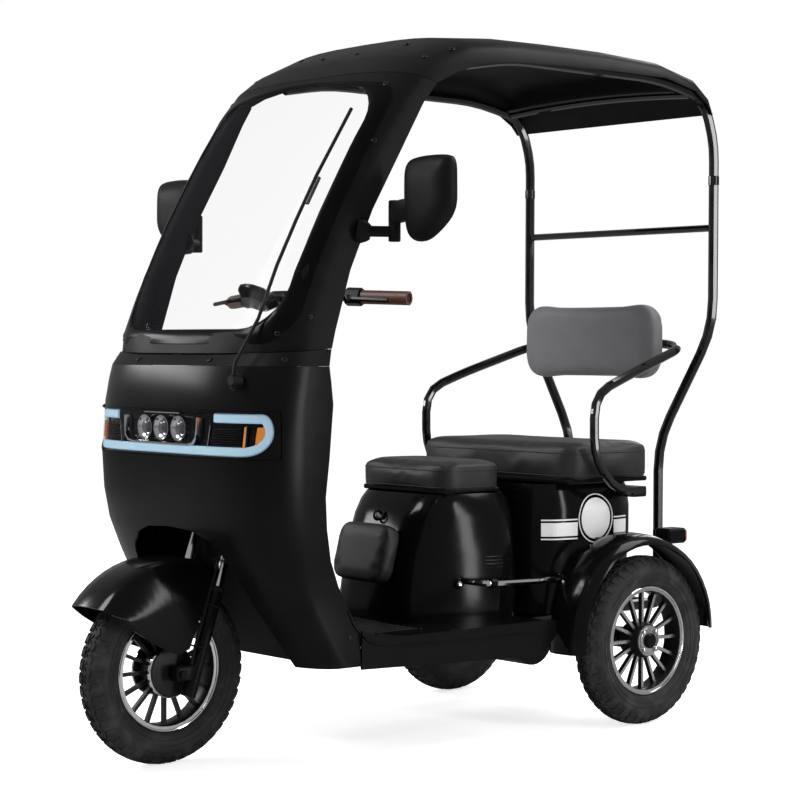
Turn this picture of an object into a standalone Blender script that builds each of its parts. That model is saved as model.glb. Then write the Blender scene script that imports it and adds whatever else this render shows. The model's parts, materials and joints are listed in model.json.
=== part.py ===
"""Electric tricycle with a windshield and a roof: its construction as separate named solids.

Forward is -Y, the rider's left is +X and up is +Z, in metres. Heights count from the ground.
Lengths along the vehicle count from the front axle: the empty named station carries every
piece and moves it so that the middle of the overall length lies at the origin.
"""
import math

import bmesh
import bpy
from mathutils import Matrix, Vector

# Driving dimensions, metres
WHEEL_RADIUS = 0.208
TYRE_WIDTH = 0.082
TYRE_WALL_HEIGHT = 0.0693
RIM_LIP_RADIUS = WHEEL_RADIUS - TYRE_WALL_HEIGHT
RIM_WIDTH = 0.053
WHEELBASE = 1.186
REAR_TRACK = 0.683
SPOKES = 16

RAKE = math.radians(18.6)
STEER_GROUND_Y = -0.006
FORK_OFFSET = 0.023
FORK_HALF_SPREAD = 0.066
STANCHION_RADIUS = 0.0125
FORK_SLIDER_RADIUS = 0.0165
STEM_RADIUS = 0.013
STEM_TOP_Z = 1.02

SHELL_WALL = 0.004
SHELL_BOTTOM_Z = 0.224
SHELL_TOP_Z = 0.883
COWL_TOP_Z = 0.920
LEG_SHIELD_MIDDLE_Y = 0.345
LEG_SHIELD_TOP_BULGE = 0.190
LAMP_LOW_Z = 0.684
LAMP_HIGH_Z = 0.787
LAMP_BACK_Y = 0.078
LAMP_DEPTH = 0.018
GLASS_THICKNESS = 0.004
GLASS_HALF_WIDTH = 0.285
GLASS_LOW_Z = 0.956
GLASS_HIGH_Z = 1.530
GLASS_CROWN = 0.020
GLASS_LOW_CORNER = 0.090
GLASS_HIGH_CORNER = 0.080
FRAME_WALL = 0.012
ROOF_WALL = 0.004
ROOF_CLEARANCE = 0.0008
ROOF_BAR_Y = 1.385

FLOOR_TOP_Z = 0.273
FLOOR_FRONT_Y = 0.3025
FLOOR_BACK_Y = 0.909
FLOOR_THICKNESS = 0.010
SKIRT_WALL = 0.006
SKIRT_FRONT_Z = 0.2165
SKIRT_LOW_Z = 0.1995
FOOT_MAT_HEIGHT = 0.0035

RAIL_X = 0.150
RAIL_RADIUS = 0.014
REAR_BOX_BOTTOM_Z = 0.2745
HEAD_TUBE_RADIUS = 0.022
HEAD_TUBE_LENGTH = 0.150

POD_WALL = 0.004
SEAT_BOX_TOP_Z = 0.574
REAR_BOX_TOP_Z = 0.592
LID_THICKNESS = 0.012
SEAT_HEIGHT = 0.056
BENCH_HEIGHT = 0.078
BENCH_HALF_WIDTH = 0.280
SIDE_RAIL_X = 0.270
SIDE_RAIL_RADIUS = 0.0075
BENCH_FRONT_Y = 1.002
BENCH_BACK_Y = 1.302
SEAT_CORNER = 0.045

TUBE_RADIUS = 0.0125
UPRIGHT_X = 0.331
UPRIGHT_Y = 1.467
UPRIGHT_FOOT_X = 0.158
UPRIGHT_FOOT_Z = 0.452
CROSSBAR_Z = 1.233
HOOP_RADIUS = 0.0115
BAR_RADIUS = 0.011
GRIP_RADIUS = 0.0165
HOOP_X = 0.306

BACKREST_HALF_WIDTH = 0.240
BACKREST_HEIGHT = 0.206
BACKREST_THICKNESS = 0.056
BACKREST_FRONT_Y = 1.345
BACKREST_Z = 0.9435
BACKREST_CORNER = 0.060

FRONT_FENDER_RADIUS = 0.252
FRONT_FENDER_HALF_WIDTH = 0.075
REAR_FENDER_RADIUS = 0.247
REAR_FENDER_INNER_X = 0.290
REAR_FENDER_OUTER_X = 0.398
REAR_FENDER_SHIFT = 0.030
REAR_FENDER_LIFT = 0.016
REAR_FENDER_STRETCH = 1.04
REAR_FENDER_SQUEEZE = 0.97
FENDER_WALL = 0.003

GAP = 0.0003

RAIL_Z = FLOOR_TOP_Z - FLOOR_THICKNESS - GAP - RAIL_RADIUS
REAR_RAIL_Z = REAR_BOX_BOTTOM_Z - GAP - RAIL_RADIUS
WIPER_X = 0.250
NOSE_Y = -WHEEL_RADIUS
TAIL_Y = UPRIGHT_Y + TUBE_RADIUS
MIDDLE_Y = (NOSE_Y + TAIL_Y) / 2
MOTOR_DROP = 0.018
MOTOR_AHEAD = 0.096

# Horizontal sections of the nose, low to high: the corner between front and side is a
# superellipse of the given squareness from front_y at the middle to side_y at the flank
NOSE_COLUMNS = ("z", "half_width", "front_y", "side_y", "back_y", "squareness")
NOSE_SECTIONS = (
    (0.224, 0.326, 0.166, 0.270, 0.302, 3.0),
    (0.300, 0.320, 0.128, 0.222, 0.302, 3.0),
    (0.350, 0.316, 0.100, 0.192, 0.274, 3.0),
    (0.402, 0.315, 0.072, 0.170, 0.246, 3.0),
    (0.460, 0.320, 0.038, 0.158, 0.220, 3.0),
    (0.530, 0.326, 0.012, 0.148, 0.204, 3.3),
    (0.600, 0.330, 0.000, 0.140, 0.197, 3.4),
    (0.684, 0.335, -0.007, 0.135, 0.203, 3.2),
    (0.800, 0.336, -0.006, 0.135, 0.212, 2.8),
    (0.850, 0.336, 0.002, 0.142, 0.206, 2.7),
    (0.883, 0.336, 0.012, 0.150, 0.201, 2.7),
)

# Half outline of the wheel opening in the nose, seen from the front, middle to bottom
ARCH_HALF_OUTLINE = (
    (0.080, 0.522),
    (0.130, 0.506),
    (0.165, 0.476),
    (0.185, 0.430),
    (0.196, 0.370),
    (0.213, 0.310),
    (0.243, 0.224),
)
ARCH_TOP_Z = 0.527
FLOOR_HALF_WIDTH = NOSE_SECTIONS[0][1] + 0.002

# Sections of the windshield frame and the roof: a rib runs from the edge point over the
# middle point to the other edge, with the given squareness
# and the wall lies inwards along a line that dips by the given degrees
RIB_COLUMNS = ("half_width", "edge_y", "edge_z", "middle_y", "middle_z", "squareness", "dip")
FRAME_RIBS = (
    (0.334, 0.209, 0.9210, 0.036, 0.9100, 3.0, 0.0),
    (0.333, 0.220, 0.961, 0.046, 0.945, 3.3, 20.0),
    (0.332, 0.262, 1.092, 0.108, 1.085, 3.4, 25.0),
    (0.332, 0.324, 1.225, 0.180, 1.220, 3.4, 26.0),
    (0.334, 0.405, 1.361, 0.261, 1.365, 3.2, 28.0),
    (0.340, 0.466, 1.470, 0.338, 1.475, 3.0, 32.0),
    (0.348, 0.500, 1.516, 0.404, 1.546, 3.0, 40.0),
)
ROOF_RIBS = (
    (0.3485, 0.5005, 1.5168, 0.4050, 1.5470, 3.0, 40.0),
    (0.355, 0.552, 1.543, 0.458, 1.589, 2.9, 55.0),
    (0.360, 0.629, 1.570, 0.580, 1.645, 3.0, 72.0),
    (0.360, 0.738, 1.583, 0.740, 1.659, 3.0, 82.0),
    (0.360, 0.900, 1.589, 0.900, 1.662, 3.0, 88.0),
    (0.360, 1.070, 1.592, 1.070, 1.662, 3.0, 90.0),
    (0.360, 1.253, 1.592, 1.250, 1.653, 3.0, 95.0),
    (0.358, 1.365, 1.570, 1.370, 1.623, 3.2, 115.0),
    (0.355, 1.415, 1.540, 1.425, 1.574, 3.6, 150.0),
    (0.352, 1.436, 1.515, 1.4455, 1.518, 4.0, 175.0),
)

# Closed horizontal rings of the two body boxes, low to high
BOX_COLUMNS = ("z", "front_half_width", "back_half_width", "front_y", "back_y", "squareness")
SEAT_BOX_RINGS = (
    (FLOOR_TOP_Z + GAP, 0.150, 0.236, 0.590, 0.932, 4.0),
    (0.330, 0.152, 0.236, 0.594, 0.932, 4.0),
    (0.430, 0.152, 0.226, 0.612, 0.932, 4.0),
    (0.520, 0.152, 0.206, 0.646, 0.931, 4.2),
    (0.555, 0.150, 0.186, 0.668, 0.928, 4.5),
    (0.574, 0.144, 0.172, 0.684, 0.922, 4.5),
)
REAR_BOX_RINGS = (
    (REAR_BOX_BOTTOM_Z, 0.236, 0.236, 0.9365, 1.290, 5.0),
    (0.360, 0.244, 0.244, 0.9365, 1.305, 4.6),
    (0.450, 0.250, 0.250, 0.9365, 1.312, 4.4),
    (0.530, 0.250, 0.250, 0.938, 1.312, 4.4),
    (0.575, 0.243, 0.243, 0.943, 1.306, 4.6),
    (0.592, 0.234, 0.234, 0.950, 1.298, 5.0),
)


def clear_scene():
    for item in list(bpy.data.objects):
        bpy.data.objects.remove(item, do_unlink=True)


def collection(name):
    made = bpy.data.collections.new(name)
    bpy.context.scene.collection.children.link(made)
    return made


clear_scene()
VEHICLE = collection("electric_tricycle")
CUTTERS = collection("cutters")


def material(name, colour, roughness, metallic=0.0, alpha=1.0):
    made = bpy.data.materials.new(name)
    made.use_nodes = True
    shader = made.node_tree.nodes["Principled BSDF"]
    shader.inputs["Base Color"].default_value = (*colour, 1.0)
    shader.inputs["Roughness"].default_value = roughness
    shader.inputs["Metallic"].default_value = metallic
    shader.inputs["Alpha"].default_value = alpha
    return made


GLOSS_BLACK = material("gloss_black", (0.012, 0.012, 0.013), 0.18)
SATIN_BLACK = material("satin_black", (0.016, 0.016, 0.018), 0.42)
CHARCOAL = material("textured_charcoal", (0.030, 0.030, 0.032), 0.62)
FRAME_BLACK = material("frame_black", (0.014, 0.014, 0.014), 0.30)
VINYL = material("black_vinyl", (0.020, 0.020, 0.021), 0.55)
RUBBER = material("rubber", (0.025, 0.025, 0.025), 0.80)
CHROME = material("chrome", (0.75, 0.75, 0.76), 0.10, 1.0)
ALLOY = material("alloy", (0.55, 0.55, 0.56), 0.28, 1.0)
DARK_METAL = material("dark_metal", (0.05, 0.05, 0.052), 0.40, 0.8)
GRIP_BROWN = material("grip_brown", (0.16, 0.055, 0.025), 0.60)
WINDSHIELD_CLEAR = material("windshield_clear", (0.90, 0.90, 0.95), 0.02, 0.0, 0.25)
LAMP_GREY = material("lamp_grey", (0.10, 0.10, 0.11), 0.25)
LAMP_RED = material("lamp_red", (0.35, 0.01, 0.01), 0.20)


def empty(name, position, turn=(0.0, 0.0, 0.0), parent=None):
    made = bpy.data.objects.new(name, None)
    VEHICLE.objects.link(made)
    made.location = position
    made.rotation_euler = turn
    made.parent = parent
    return made


def steer_y(z):
    """Station of the steering axis at height z."""
    return STEER_GROUND_Y + math.tan(RAKE) * z


def fork_y(z):
    """Station of the fork legs' middle line at height z."""
    return steer_y(z) - FORK_OFFSET


STATION = empty("station", (0.0, -MIDDLE_Y, 0.0))
STEERING_HEAD_Z = 0.670
JOINT_PLACES = {
    "steering_axis": (0.0, steer_y(STEERING_HEAD_Z), STEERING_HEAD_Z),
    "front_axle": (0.0, 0.0, WHEEL_RADIUS),
    "rear_axle_left": (REAR_TRACK / 2, WHEELBASE, WHEEL_RADIUS),
    "rear_axle_right": (-REAR_TRACK / 2, WHEELBASE, WHEEL_RADIUS),
    "seat_lid_hinge": (0.0, 0.700, 0.5800),
    "bench_lid_hinge": (0.0, 1.000, 0.6000),
}
PIVOTS = {name: empty(name, place, parent=STATION) for name, place in JOINT_PLACES.items()}


def place(obj, name, finish, pivot=None):
    """Name the piece, give it its material and hang it on the station or on its joint."""
    obj.name = name
    obj.data.name = name
    obj.data.materials.clear()
    obj.data.materials.append(finish)
    for owner in list(obj.users_collection):
        owner.objects.unlink(obj)
    VEHICLE.objects.link(obj)
    obj.parent = PIVOTS[pivot] if pivot else STATION
    if pivot:
        obj.location = Vector(obj.location) - Vector(JOINT_PLACES[pivot])
    return obj


def tool(obj, name):
    """Keep the object as a hidden cutter or as the hidden second half of a union."""
    obj.name = name
    for owner in list(obj.users_collection):
        owner.objects.unlink(obj)
    CUTTERS.objects.link(obj)
    obj.parent = STATION
    obj.hide_render = True
    obj.display_type = "WIRE"
    return obj


def boolean(obj, other, operation):
    step = obj.modifiers.new(operation.lower(), "BOOLEAN")
    step.operation = operation
    step.solver = "EXACT"
    step.object = other
    return obj


def keep(obj, other):
    return boolean(obj, other, "INTERSECT")


def cut(obj, other):
    return boolean(obj, other, "DIFFERENCE")


def fuse(obj, other):
    return boolean(obj, other, "UNION")


def mesh_object(name, verts, faces):
    data = bpy.data.meshes.new(name)
    data.from_pydata([tuple(v) for v in verts], [], faces)
    data.update()
    obj = bpy.data.objects.new(name, data)
    VEHICLE.objects.link(obj)
    return obj


def smooth(obj, angle=35.0):
    obj.data.shade_smooth()
    obj.data.set_sharp_from_angle(angle=math.radians(angle))
    return obj


def block(low, high, bevel=0.0, segments=1):
    """Box between two corners, with optional rounded edges."""
    low = Vector(low)
    high = Vector(high)
    bm = bmesh.new()
    bmesh.ops.create_cube(bm, size=1.0)
    size = high - low
    bmesh.ops.scale(bm, vec=size, verts=bm.verts)
    data = bpy.data.meshes.new("block")
    bm.to_mesh(data)
    bm.free()
    obj = bpy.data.objects.new("block", data)
    VEHICLE.objects.link(obj)
    obj.location = (low + high) / 2
    if bevel:
        edge = obj.modifiers.new("rounded_edges", "BEVEL")
        edge.width = bevel
        edge.segments = segments
        edge.limit_method = "NONE"
    return obj


def cylinder(middle, radius, length, axis="Z", sides=24):
    """Cylinder about its middle point, along one axis."""
    bm = bmesh.new()
    bmesh.ops.create_cone(bm, cap_ends=True, segments=sides, radius1=radius, radius2=radius, depth=length)
    turn = {
        "X": Matrix.Rotation(math.pi / 2, 4, "Y"),
        "Y": Matrix.Rotation(math.pi / 2, 4, "X"),
        "Z": Matrix(),
    }
    bmesh.ops.transform(bm, matrix=turn[axis], verts=bm.verts)
    data = bpy.data.meshes.new("cylinder")
    bm.to_mesh(data)
    bm.free()
    obj = bpy.data.objects.new("cylinder", data)
    VEHICLE.objects.link(obj)
    obj.location = middle
    return obj


def turned(profile, steps, axis="X"):
    """Turn a closed profile of (radius, along) points about an axis with a Screw modifier."""
    area = 0.0
    for (r0, a0), (r1, a1) in zip(profile, profile[1:] + profile[:1]):
        area += r0 * a1 - r1 * a0
    points = list(profile) if area < 0 else list(reversed(profile))
    data = bpy.data.meshes.new("turned")
    edges = [(i, (i + 1) % len(points)) for i in range(len(points))]
    data.from_pydata([(r, 0.0, a) for r, a in points], edges, [])
    obj = bpy.data.objects.new("turned", data)
    VEHICLE.objects.link(obj)
    screw = obj.modifiers.new("turn", "SCREW")
    screw.axis = "Z"
    screw.angle = math.tau
    screw.steps = steps
    screw.render_steps = steps
    screw.use_merge_vertices = True
    screw.merge_threshold = 0.0001
    screw.use_smooth_shade = True
    if axis == "X":
        obj.rotation_euler = (0.0, math.pi / 2, 0.0)
    return obj


def bent(points, radius, steps=3):
    """Path through the points with each corner rounded, so that a tube bends as if drawn."""
    path = [Vector(points[0])]
    for before, corner, after in zip(points, points[1:], points[2:]):
        before, corner, after = Vector(before), Vector(corner), Vector(after)
        reach = min(radius, (corner - before).length * 0.45, (after - corner).length * 0.45)
        start = corner + (before - corner).normalized() * reach
        end = corner + (after - corner).normalized() * reach
        for i in range(steps + 1):
            t = i / steps
            path.append(start * (1 - t) ** 2 + corner * 2 * t * (1 - t) + end * t ** 2)
    path.append(Vector(points[-1]))
    return path


def rounded(corners, radius, steps=4):
    """Closed flat outline with each corner rounded; a corner may bring its own radius as a third value."""
    outline = []
    for i, corner in enumerate(corners):
        here = Vector(corner[:2])
        reach = corner[2] if len(corner) > 2 else radius
        before = here + (Vector(corners[i - 1][:2]) - here).normalized() * reach
        after = here + (Vector(corners[(i + 1) % len(corners)][:2]) - here).normalized() * reach
        for step in range(steps + 1):
            angle = math.pi / 2 * step / steps
            back = (before - here) * (1 - math.sin(angle))
            outline.append(here + back + (after - here) * (1 - math.cos(angle)))
    return [(p.x, p.y) for p in outline]


def rectangle(half_width, half_height, middle=(0.0, 0.0)):
    a, b = middle
    return [
        (a - half_width, b - half_height),
        (a + half_width, b - half_height),
        (a + half_width, b + half_height),
        (a - half_width, b + half_height),
    ]


def tube(path, radius, resolution=2, closed=False):
    """Round tube along a path, as a curve with a bevel and filled ends."""
    data = bpy.data.curves.new("tube", "CURVE")
    data.dimensions = "3D"
    data.bevel_depth = radius
    data.bevel_resolution = resolution
    data.use_fill_caps = True
    line = data.splines.new("POLY")
    line.points.add(len(path) - 1)
    for point, spot in zip(line.points, path):
        point.co = (*spot, 1.0)
    line.use_cyclic_u = closed
    obj = bpy.data.objects.new("tube", data)
    VEHICLE.objects.link(obj)
    return obj


def slab(outline, low, high, axis):
    """Flat outline extruded from low to high.

    Along X its points are (y, z), along Y (x, z) and along Z (x, y).
    """
    data = bpy.data.curves.new("slab", "CURVE")
    data.dimensions = "2D"
    data.fill_mode = "BOTH"
    data.extrude = (high - low) / 2
    line = data.splines.new("POLY")
    line.points.add(len(outline) - 1)
    for point, (a, b) in zip(line.points, outline):
        point.co = (a, b, 0.0, 1.0)
    line.use_cyclic_u = True
    obj = bpy.data.objects.new("slab", data)
    VEHICLE.objects.link(obj)
    middle = (low + high) / 2
    placing = {
        "X": ((math.pi / 2, 0.0, math.pi / 2), (middle, 0.0, 0.0)),
        "Y": ((math.pi / 2, 0.0, 0.0), (0.0, middle, 0.0)),
        "Z": ((0.0, 0.0, 0.0), (0.0, 0.0, middle)),
    }
    obj.rotation_euler, obj.location = placing[axis]
    return meshed(obj)


def pad(outline, low, high, axis, bevel, segments=3):
    """Slab whose two flat faces meet its sides in a rounded edge."""
    obj = slab(outline, low, high, axis)
    edge = obj.modifiers.new("rounded_edges", "BEVEL")
    edge.width = bevel
    edge.segments = segments
    edge.limit_method = "ANGLE"
    edge.angle_limit = math.radians(60)
    return obj


def meshed(obj):
    """Turn a curve object into a mesh object with its caps welded."""
    bpy.context.view_layer.update()
    depsgraph = bpy.context.evaluated_depsgraph_get()
    data = bpy.data.meshes.new_from_object(obj.evaluated_get(depsgraph))
    bm = bmesh.new()
    bm.from_mesh(data)
    bmesh.ops.remove_doubles(bm, verts=bm.verts, dist=0.00001)
    bmesh.ops.recalc_face_normals(bm, faces=bm.faces)
    bm.to_mesh(data)
    bm.free()
    made = bpy.data.objects.new(obj.name, data)
    VEHICLE.objects.link(made)
    made.matrix_world = obj.matrix_world
    bpy.data.objects.remove(obj, do_unlink=True)
    return made


def loft(rows, wall, offset=-1.0, cap_first=False, ring=False):
    """Open skin through rows of points, thickened by a Solidify modifier.

    ring closes each row on itself, and cap_first closes the skin with the first row."""
    count = len(rows[0])
    verts = [point for row in rows for point in row]
    faces = []
    spans = count if ring else count - 1
    for r in range(len(rows) - 1):
        for c in range(spans):
            d = (c + 1) % count
            faces.append((r * count + c, r * count + d, (r + 1) * count + d, (r + 1) * count + c))
    if cap_first:
        faces.append(tuple(reversed(range(count))))
    obj = mesh_object("loft", verts, faces)
    skin = obj.modifiers.new("wall", "SOLIDIFY")
    skin.thickness = wall
    skin.offset = offset
    skin.use_even_offset = True
    return smooth(obj)


def wall_between(outer, inner):
    """Closed wall between an outer and an inner skin with the same rows and columns."""
    rows, columns = len(outer), len(outer[0])
    verts = [p for row in outer for p in row] + [p for row in inner for p in row]
    shift = rows * columns
    faces = []
    for r in range(rows - 1):
        for c in range(columns - 1):
            quad = (r * columns + c, r * columns + c + 1, (r + 1) * columns + c + 1, (r + 1) * columns + c)
            faces.append(tuple(reversed(quad)))
            faces.append(tuple(i + shift for i in quad))
    rim = [c for c in range(columns)]
    rim += [r * columns + columns - 1 for r in range(1, rows)]
    rim += [(rows - 1) * columns + c for c in range(columns - 2, -1, -1)]
    rim += [r * columns for r in range(rows - 2, 0, -1)]
    for i, here in enumerate(rim):
        there = rim[(i + 1) % len(rim)]
        faces.append((here, there, there + shift, here + shift))
    obj = mesh_object("wall", verts, faces)
    bm = bmesh.new()
    bm.from_mesh(obj.data)
    bmesh.ops.recalc_face_normals(bm, faces=bm.faces)
    bm.to_mesh(obj.data)
    bm.free()
    return smooth(obj)


def power(value, exponent):
    return math.copysign(abs(value) ** exponent, value)


def table(columns, rows):
    return [dict(zip(columns, row)) for row in rows]


def between(columns, rows, key, value):
    """Row of the table interpolated at a value of its key column."""
    entries = table(columns, rows)
    for low, high in zip(entries, entries[1:]):
        if low[key] <= value <= high[key]:
            t = (value - low[key]) / (high[key] - low[key])
            return {name: low[name] * (1 - t) + high[name] * t for name in columns}
    return entries[0] if value < entries[0][key] else entries[-1]


def nose_row(z, curve_steps=18, flank_steps=2, inset=0.0, back_y=None):
    """Points of the nose at height z, from the left rear edge round the front to the right."""
    s = between(NOSE_COLUMNS, NOSE_SECTIONS, "z", z)
    width = s["half_width"] - inset
    front = s["front_y"] + inset
    side = s["side_y"]
    back = s["back_y"] if back_y is None else back_y
    depth = side - front
    first = 0.0
    flank = []
    if back > side:
        flank = [(width, back + (side - back) * i / flank_steps) for i in range(flank_steps)]
    else:
        first = math.asin(((side - back) / depth) ** (s["squareness"] / 2))
    points = list(flank)
    for i in range(curve_steps + 1):
        angle = first + (math.pi - 2 * first) * i / curve_steps
        x = width * power(math.cos(angle), 2 / s["squareness"])
        y = side - depth * abs(math.sin(angle)) ** (2 / s["squareness"])
        points.append((x, y))
    points += [(-x, y) for x, y in reversed(flank)]
    return [(x, y, z) for x, y in points]


def rib_row(rib, steps=18, start=0.0, inset=0.0):
    """Points of one windshield frame or roof rib, from the left edge over to the right."""
    s = dict(zip(RIB_COLUMNS, rib))
    dip = math.radians(s["dip"])
    s["middle_y"] += inset * math.cos(dip)
    s["middle_z"] -= inset * math.sin(dip)
    points = []
    for i in range(steps + 1):
        angle = start + (math.pi - 2 * start) * i / steps
        across = power(math.cos(angle), 2 / s["squareness"])
        rise = abs(math.sin(angle)) ** (2 / s["squareness"])
        y = s["edge_y"] + (s["middle_y"] - s["edge_y"]) * rise
        z = s["edge_z"] + (s["middle_z"] - s["edge_z"]) * rise
        points.append(((s["half_width"] - inset) * across, y, z))
    return points


def box_ring(ring, steps=20):
    """Closed horizontal ring of a body box, counter-clockwise seen from above."""
    s = dict(zip(BOX_COLUMNS, ring))
    middle = (s["front_y"] + s["back_y"]) / 2
    reach = (s["back_y"] - s["front_y"]) / 2
    points = []
    for i in range(steps):
        angle = math.tau * (i + 0.5) / steps
        y = middle + reach * power(math.sin(angle), 2 / s["squareness"])
        share = (y - s["front_y"]) / (2 * reach)
        width = s["front_half_width"] * (1 - share) + s["back_half_width"] * share
        points.append((width * power(math.cos(angle), 2 / s["squareness"]), y, s["z"]))
    return points


def outline_value(outline, at, axis, want):
    """Other coordinate of a faceted outline where the axis has a value, on the side named by want."""
    other = 1 - axis
    found = []
    for a, b in zip(outline, outline[1:] + outline[:1]):
        low, high = sorted((a[axis], b[axis]))
        if low <= at <= high and high > low:
            t = (at - a[axis]) / (b[axis] - a[axis])
            found.append(a[other] * (1 - t) + b[other] * t)
    return want(found)


def lofted_outline(sections, shape, z):
    """Outline at height z of the faceted skin lofted through the sections, lowest first."""
    for low, high in zip(sections, sections[1:]):
        if low[0] <= z <= high[0]:
            t = (z - low[0]) / (high[0] - low[0])
            return [Vector(a).lerp(Vector(b), t) for a, b in zip(shape(low), shape(high))]
    return [Vector(a) for a in shape(sections[-1])]


def box_outline(rings, z):
    return lofted_outline(rings, box_ring, z)


def box_wall_x(rings, y, z):
    """Half-width of a body box's outer wall at a station and height."""
    return outline_value(box_outline(rings, z), y, 1, max)


def box_front_y(rings, z):
    """Station of a body box's front wall on the middle line."""
    return outline_value(box_outline(rings, z), 0.0, 0, min)


def nose_front(x, z):
    """Station of the nose's outer face at a point seen from the front."""
    outline = lofted_outline(NOSE_SECTIONS, lambda section: nose_row(section[0]), z)
    return outline_value(outline, x, 0, min)


def frame_front(x, z):
    """Station of the windshield frame's outer face at a point seen from the front."""
    spots = []
    for s in table(RIB_COLUMNS, FRAME_RIBS):
        share = (1 - abs(x / s["half_width"]) ** s["squareness"]) ** (1 / s["squareness"])
        height = s["edge_z"] + (s["middle_z"] - s["edge_z"]) * share
        spots.append({"z": height, "y": s["edge_y"] + (s["middle_y"] - s["edge_y"]) * share})
    return between(("z", "y"), [(spot["z"], spot["y"]) for spot in spots], "z", z)["y"]


def front_shell():
    heights = [s[0] for s in NOSE_SECTIONS]
    heights[-1] = SHELL_TOP_Z - GAP
    obj = wall_between([nose_row(z) for z in heights], [nose_row(z, inset=SHELL_WALL) for z in heights])
    half = list(ARCH_HALF_OUTLINE)
    low = [(half[-1][0] + 0.02, SHELL_BOTTOM_Z - 0.05)]
    right = [(-x, z) for x, z in low + half[::-1]]
    arch = tool(slab(right + [(0.0, ARCH_TOP_Z)] + half + low, -0.20, 0.262, "Y"), "arch_cutter")
    cut(obj, arch)
    low_corner = (-0.5, -0.2, LAMP_LOW_Z - GAP)
    lamp = tool(block(low_corner, (0.5, LAMP_BACK_Y + GAP, LAMP_HIGH_Z + GAP)), "lamp_cutter")
    cut(obj, lamp)
    return place(obj, "front_shell", SATIN_BLACK)


def headlamp_unit():
    heights = (LAMP_LOW_Z + GAP, 0.736, LAMP_HIGH_Z - GAP)
    outer = [nose_row(z, back_y=LAMP_BACK_Y - GAP) for z in heights]
    inner = [nose_row(z, inset=LAMP_DEPTH, back_y=LAMP_BACK_Y - GAP) for z in heights]
    obj = wall_between(outer, inner)
    return place(obj, "headlamp_unit", LAMP_GREY)


def cowl_strip():
    low = between(NOSE_COLUMNS, NOSE_SECTIONS, "z", SHELL_TOP_Z)
    skins = []
    for inset in (0.0, SHELL_WALL):
        first = nose_row(SHELL_TOP_Z, inset=inset)
        top = []
        for x, y, z in first:
            share = (low["back_y"] - y) / (low["back_y"] - low["front_y"])
            top.append((x * 0.994, y + 0.007 + 0.020 * share, COWL_TOP_Z - 0.0110 * share))
        skins.append([first, top])
    obj = wall_between(*skins)
    return place(obj, "cowl_strip", CHARCOAL)


def glass_outline(inset=0.0):
    """Outline of the clear screen seen from the front: round corners and a slightly arched top."""
    width = GLASS_HALF_WIDTH - inset
    shoulder = GLASS_HIGH_Z - GLASS_CROWN
    corners = (
        (width - GLASS_LOW_CORNER, GLASS_LOW_Z + GLASS_LOW_CORNER, GLASS_LOW_CORNER - inset, -90),
        (width - GLASS_HIGH_CORNER, shoulder - GLASS_HIGH_CORNER, GLASS_HIGH_CORNER - inset, 0),
    )
    right = []
    for x, z, radius, first in corners:
        for step in range(7):
            angle = math.radians(first + 15 * step)
            right.append((x + inset + radius * math.cos(angle), z + radius * math.sin(angle)))
    top_x, top_z = right[-1]
    crown = [(top_x * (1 - i / 5), top_z + GLASS_CROWN * (1 - (1 - i / 5) ** 2)) for i in range(1, 5)]
    half = right + crown
    return half + [(0.0, top_z + GLASS_CROWN)] + [(-x, z) for x, z in reversed(half)]


def windshield_frame():
    inner = [rib_row(rib, inset=FRAME_WALL) for rib in FRAME_RIBS]
    obj = wall_between([rib_row(rib) for rib in FRAME_RIBS], inner)
    cut(obj, tool(slab(glass_outline(), -0.2, 0.7, "Y"), "windshield_cutter"))
    return place(obj, "windshield_frame", CHARCOAL)


def windshield():
    sheets = [[rib_row(rib, inset=depth) for rib in FRAME_RIBS] for depth in (0.002, 0.002 + GLASS_THICKNESS)]
    obj = wall_between(*sheets)
    keep(obj, tool(slab(glass_outline(GAP), -0.2, 0.7, "Y"), "windshield_outline"))
    return place(obj, "windshield", WINDSHIELD_CLEAR)


def roof_shell():
    inner = [rib_row(rib, inset=ROOF_WALL) for rib in ROOF_RIBS]
    obj = wall_between([rib_row(rib) for rib in ROOF_RIBS], inner)
    for side in (1, -1):
        notch = meshed(tube(upright_path(side)[6:], TUBE_RADIUS + ROOF_CLEARANCE))
        cut(obj, tool(notch, f"upright_notch_cutter{side}"))
    return place(obj, "roof_shell", CHARCOAL)


def upright_path(side):
    """Middle line of an upright: up from the frame, out to the side and forward under the roof."""
    x = side * UPRIGHT_X
    foot = side * UPRIGHT_FOOT_X
    corner_y = UPRIGHT_Y - 0.009
    points = (
        (foot, corner_y, UPRIGHT_FOOT_Z),
        (foot, corner_y, 0.683),
        (x, UPRIGHT_Y, 0.977),
        (x, UPRIGHT_Y, 1.452),
        (x, 1.424, 1.558),
        (x, 1.253, 1.593),
        (x, 0.738, 1.593),
        (x, 0.600, 1.568),
    )
    return bent(points, 0.075)


def upright(side):
    obj = tube(upright_path(side), TUBE_RADIUS)
    return place(obj, "upright_left" if side > 0 else "upright_right", FRAME_BLACK)


def crossbars():
    inner = UPRIGHT_X - TUBE_RADIUS - GAP
    bar = tube([(-inner, UPRIGHT_Y, CROSSBAR_Z), (inner, UPRIGHT_Y, CROSSBAR_Z)], 0.009)
    place(bar, "upright_crossbar", FRAME_BLACK)
    end_z = 0.0
    for low, high in zip(upright_path(1), upright_path(1)[1:]):
        if low.z > CROSSBAR_Z and high.y <= ROOF_BAR_Y <= low.y:
            end_z = low.z + (high.z - low.z) * (low.y - ROOF_BAR_Y) / (low.y - high.y)
    arch = []
    for i in range(9):
        x = inner * (1 - i / 4)
        arch.append((x, ROOF_BAR_Y, end_z + 0.012 * (1 - (x / inner) ** 2)))
    place(tube(arch, 0.009), "roof_crossbar", FRAME_BLACK)


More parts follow.
